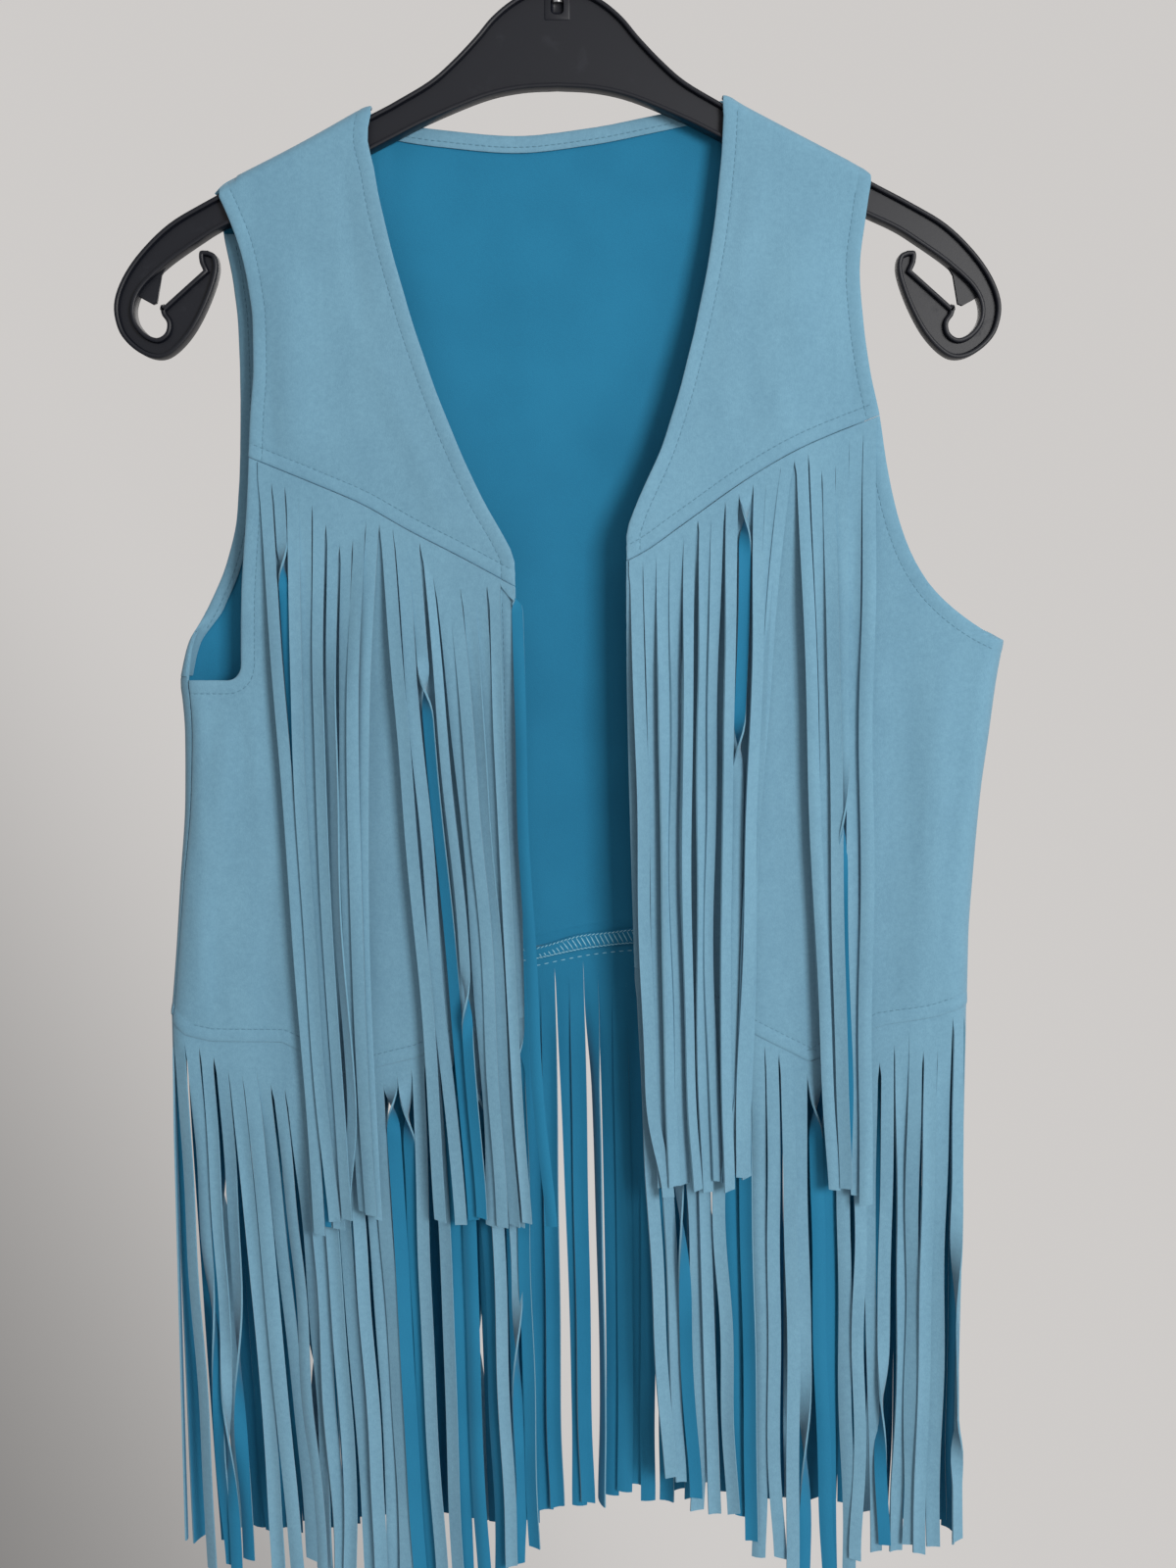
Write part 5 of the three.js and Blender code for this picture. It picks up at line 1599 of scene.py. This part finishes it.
def hanger_piece():
    outline, web_outline = hanger_outlines()
    web_bm = bmesh.new()
    plate(web_bm, web_outline, [(0, -WEB_HALF_DEPTH), (0, WEB_HALF_DEPTH)])
    rim_bm = bmesh.new()
    plate(rim_bm, outline, [(inset, -depth) for inset, depth in RIM][::-1] + RIM, filled=False)
    for sign in (1, -1):
        plate(rim_bm, flat_points(NIB, sign), NIB_SECTION)
    for bm in (web_bm, rim_bm):
        bmesh.ops.recalc_face_normals(bm, faces=bm.faces)
    web, rim = object_of(web_bm, "hanger_web", [plastic]), object_of(rim_bm, "hanger_rim", [plastic])
    boss = box_piece("hanger_boss", **BOSS)
    recess = box_piece("recess", **RECESS)
    cut = boss.modifiers.new("recess", "BOOLEAN")
    cut.object = recess
    cut.solver = "EXACT"
    joined = joined_piece([web, finished(boss), rim], "moulded_hanger")
    bpy.data.objects.remove(recess)
    return joined


def box_piece(name, size, place, round_edge):
    bm = bmesh.new()
    matrix = Matrix.Translation(Vector(place) * MM) @ Matrix.Diagonal((*(s * MM for s in size), 1))
    bmesh.ops.create_cube(bm, size=1, matrix=matrix)
    bmesh.ops.bevel(bm, geom=bm.edges[:], offset=round_edge * MM, segments=4, profile=0.5, affect="EDGES")
    return object_of(bm, name, [plastic])


def joined_piece(pieces, name):
    """One object from several finished ones."""
    bm = bmesh.new()
    for piece in pieces:
        bm.from_mesh(piece.data)
    materials = list(pieces[0].data.materials)
    for piece in pieces:
        bpy.data.objects.remove(piece)
    joined = object_of(bm, name, materials)
    shaded(joined.data, sharp=40)
    return joined


hanger = hanger_piece()
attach(hanger, "root")
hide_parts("hanger")

# %% [markdown]
# ## The wire hook
#
# The hook is round wire, bent cold: a short stem with an upset head that turns in the hanger, a slight
# sideways set and most of a circle. A Blender curve with a round bevel makes exactly that, and its path is
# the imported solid's own. The picture's edge hides all of it but the end of its stem.

# %% Wire hook
WIRE = 3.6
HOOK_RADIUS = 20 + WIRE / 2
HEAD_TOP = -57.3
HEAD_RADIUS = 2.9
HEAD_HEIGHT = 1.2
HOOK_MIDDLE = -20


def wire_metal():
    finish = Finish("plated_wire", Metallic=1, Base_Color=(0.36, 0.37, 0.38, 1))
    drawn = finish.noise(1, detail=3, along=finish.stretched(160, 160, 900))
    finish.feeds(Roughness=0.22 + drawn * 0.16)
    return finish.material


def wire_hook():
    path = [(0, HEAD_TOP - 1), (0, -51), (1.2, -46), (9, -42)]
    for angle in evenly(-38, 215, 44):
        turn = math.radians(angle)
        path.append((HOOK_RADIUS * math.cos(turn), HOOK_MIDDLE + HOOK_RADIUS * math.sin(turn)))
    points = smooth_run(path, 4) + flat_points(path[-1:])
    curve = bpy.data.curves.new("hook path", "CURVE")
    curve.dimensions = "3D"
    curve.bevel_depth = WIRE / 2 * MM
    curve.bevel_resolution = 6
    curve.use_fill_caps = True
    spline = curve.splines.new("POLY")
    spline.points.add(len(points) - 1)
    for target, point in zip(spline.points, points):
        target.co = (*(point * MM), 1)
    wire = in_scene("hook path", curve)
    mesh = bpy.data.meshes.new_from_object(wire.evaluated_get(bpy.context.evaluated_depsgraph_get()))
    bm = bmesh.new()
    bm.from_mesh(mesh)
    bpy.data.objects.remove(wire)
    end = Matrix.Translation(points[-1] * MM)
    bmesh.ops.create_uvsphere(bm, u_segments=24, v_segments=16, radius=WIRE * 0.72 * MM, matrix=end)
    head = Matrix.Translation((0, 0, (HEAD_TOP - HEAD_HEIGHT / 2) * MM))
    bmesh.ops.create_cone(bm, cap_ends=True, segments=32, radius1=HEAD_RADIUS * MM,
                          radius2=HEAD_RADIUS * MM, depth=HEAD_HEIGHT * MM, matrix=head)
    piece = object_of(bm, "wire_hook_finished", [wire_metal()])
    shaded(piece.data)
    return piece


hook = wire_hook()
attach(hook, "root")
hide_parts("wire_hook")

# %% [markdown]
# ## What the cloth was cut to
#
# Each piece of cloth was flat before it was sewn. Hung flat, a piece covers about what it was cut to, and
# the table below puts the two side by side.

# %% Cut sizes


def shown_area(piece):
    """Half the surface of a closed sheet, in square metres."""
    return sum(p.area for p in piece.data.polygons) / 2


CUTS = [
    (back, 0.40, 0.45, 0.140, [back_stitches, allowance, overlock]),
    (yoke_left, 0.145, 0.235, 0.0150, [front_stitches]),
    (yoke_right, 0.125, 0.230, 0.0138, []),
    (lower_left, 0.185, 0.300, 0.0405, []),
    (lower_right, 0.190, 0.315, 0.0440, []),
    (fringe_yoke_left, 0.121, 0.376, 0.0412, []),
    (fringe_yoke_right, 0.117, 0.380, 0.0399, []),
    (hem_left, 0.173, 0.283, 0.0478, []),
    (hem_right, 0.170, 0.281, 0.0458, []),
    (hem_back, 0.404, 0.300, 0.1153, []),
    (neck_turning, 0.160, 0.0105, 0.00125, []),
    (turning_left, 0.225, 0.0105, 0.0016, []),
    (turning_right, 0.190, 0.0105, 0.00125, []),
]
for piece, width, length, area, sewn_on in CUTS:
    print(f"{piece.name}: cut {area * 1e4:.0f} cm2, shown {shown_area(piece) * 1e4:.0f} cm2")

# %% [markdown]
# ## The camera, the light and the floor
#
# The picture was taken from straight in front, a little above the middle and tilted down by six degrees.
# A broad soft light from the right gives the long soft shadows that the opening and the strands cast to the
# left, and a pale world fills them.

# %% Camera, lights and floor
CAMERA = Vector((14.325, -845.34, -334.85)) * MM
TILT = 6
HEIGHT_OF_VIEW = 48.4

camera_data = bpy.data.cameras.new("camera")
camera_data.sensor_fit = "VERTICAL"
camera_data.angle = math.radians(HEIGHT_OF_VIEW)
camera_data.clip_start = 0.01
camera = in_scene("camera", camera_data)
camera.location = CAMERA
camera.rotation_euler = (math.radians(90 - TILT), 0, 0)
bpy.context.scene.camera = camera


def soft_light(name, place, aim, size, power, colour):
    data = bpy.data.lights.new(name, "AREA")
    data.shape = "SQUARE"
    data.size = size
    data.energy = power
    data.color = colour
    lamp = in_scene(name, data)
    lamp.location = place
    lamp.rotation_euler = (Vector(aim) - Vector(place)).to_track_quat("-Z", "Y").to_euler()


MIDDLE = (0, 0, -0.42)
soft_light("window", (0.92, -1.7, -0.05), MIDDLE, 0.6, 31, (1, 0.985, 0.96))
soft_light("room", (-1.5, -1.7, 0.1), MIDDLE, 1.6, 2.5, (0.93, 0.96, 1))
soft_light("behind", (0.5, 1.9, 0.5), MIDDLE, 1.4, 9, (1, 0.98, 0.95))

world = bpy.data.worlds.new("pale room")
bpy.context.scene.world = world
world.use_nodes = True
room = world.node_tree
backdrop = room.nodes["Background"]
direction = room.nodes.new("ShaderNodeSeparateXYZ")
room.links.new(room.nodes.new("ShaderNodeTexCoord").outputs["Generated"], direction.inputs[0])
slope = room.nodes.new("ShaderNodeMath")
slope.operation = "MULTIPLY_ADD"
slope.inputs[1].default_value = 1.6
room.links.new(direction.outputs["X"], slope.inputs[0])
room.links.new(direction.outputs["Z"], slope.inputs[2])
shade = room.nodes.new("ShaderNodeMapRange")
shade.interpolation_type = "SMOOTHSTEP"
for socket, value in (("From Min", -1.2), ("From Max", -0.35), ("To Min", 0.25), ("To Max", 1.0)):
    shade.inputs[socket].default_value = value
room.links.new(slope.outputs[0], shade.inputs["Value"])
room.links.new(shade.outputs[0], backdrop.inputs["Strength"])
backdrop.inputs["Color"].default_value = (0.62, 0.6, 0.585, 1)
bpy.context.scene.view_settings.view_transform = "Standard"

floor_bm = bmesh.new()
bmesh.ops.create_circle(floor_bm, cap_ends=True, segments=96, radius=1.2)
bmesh.ops.translate(floor_bm, verts=floor_bm.verts, vec=(0, 0, -1.6))
plain = Finish("floor_plain", Base_Color=(0.5, 0.49, 0.475, 1), Roughness=0.9)
floor = object_of(floor_bm, "floor", [plain.material])
print("Camera at", [round(v, 3) for v in camera.location])
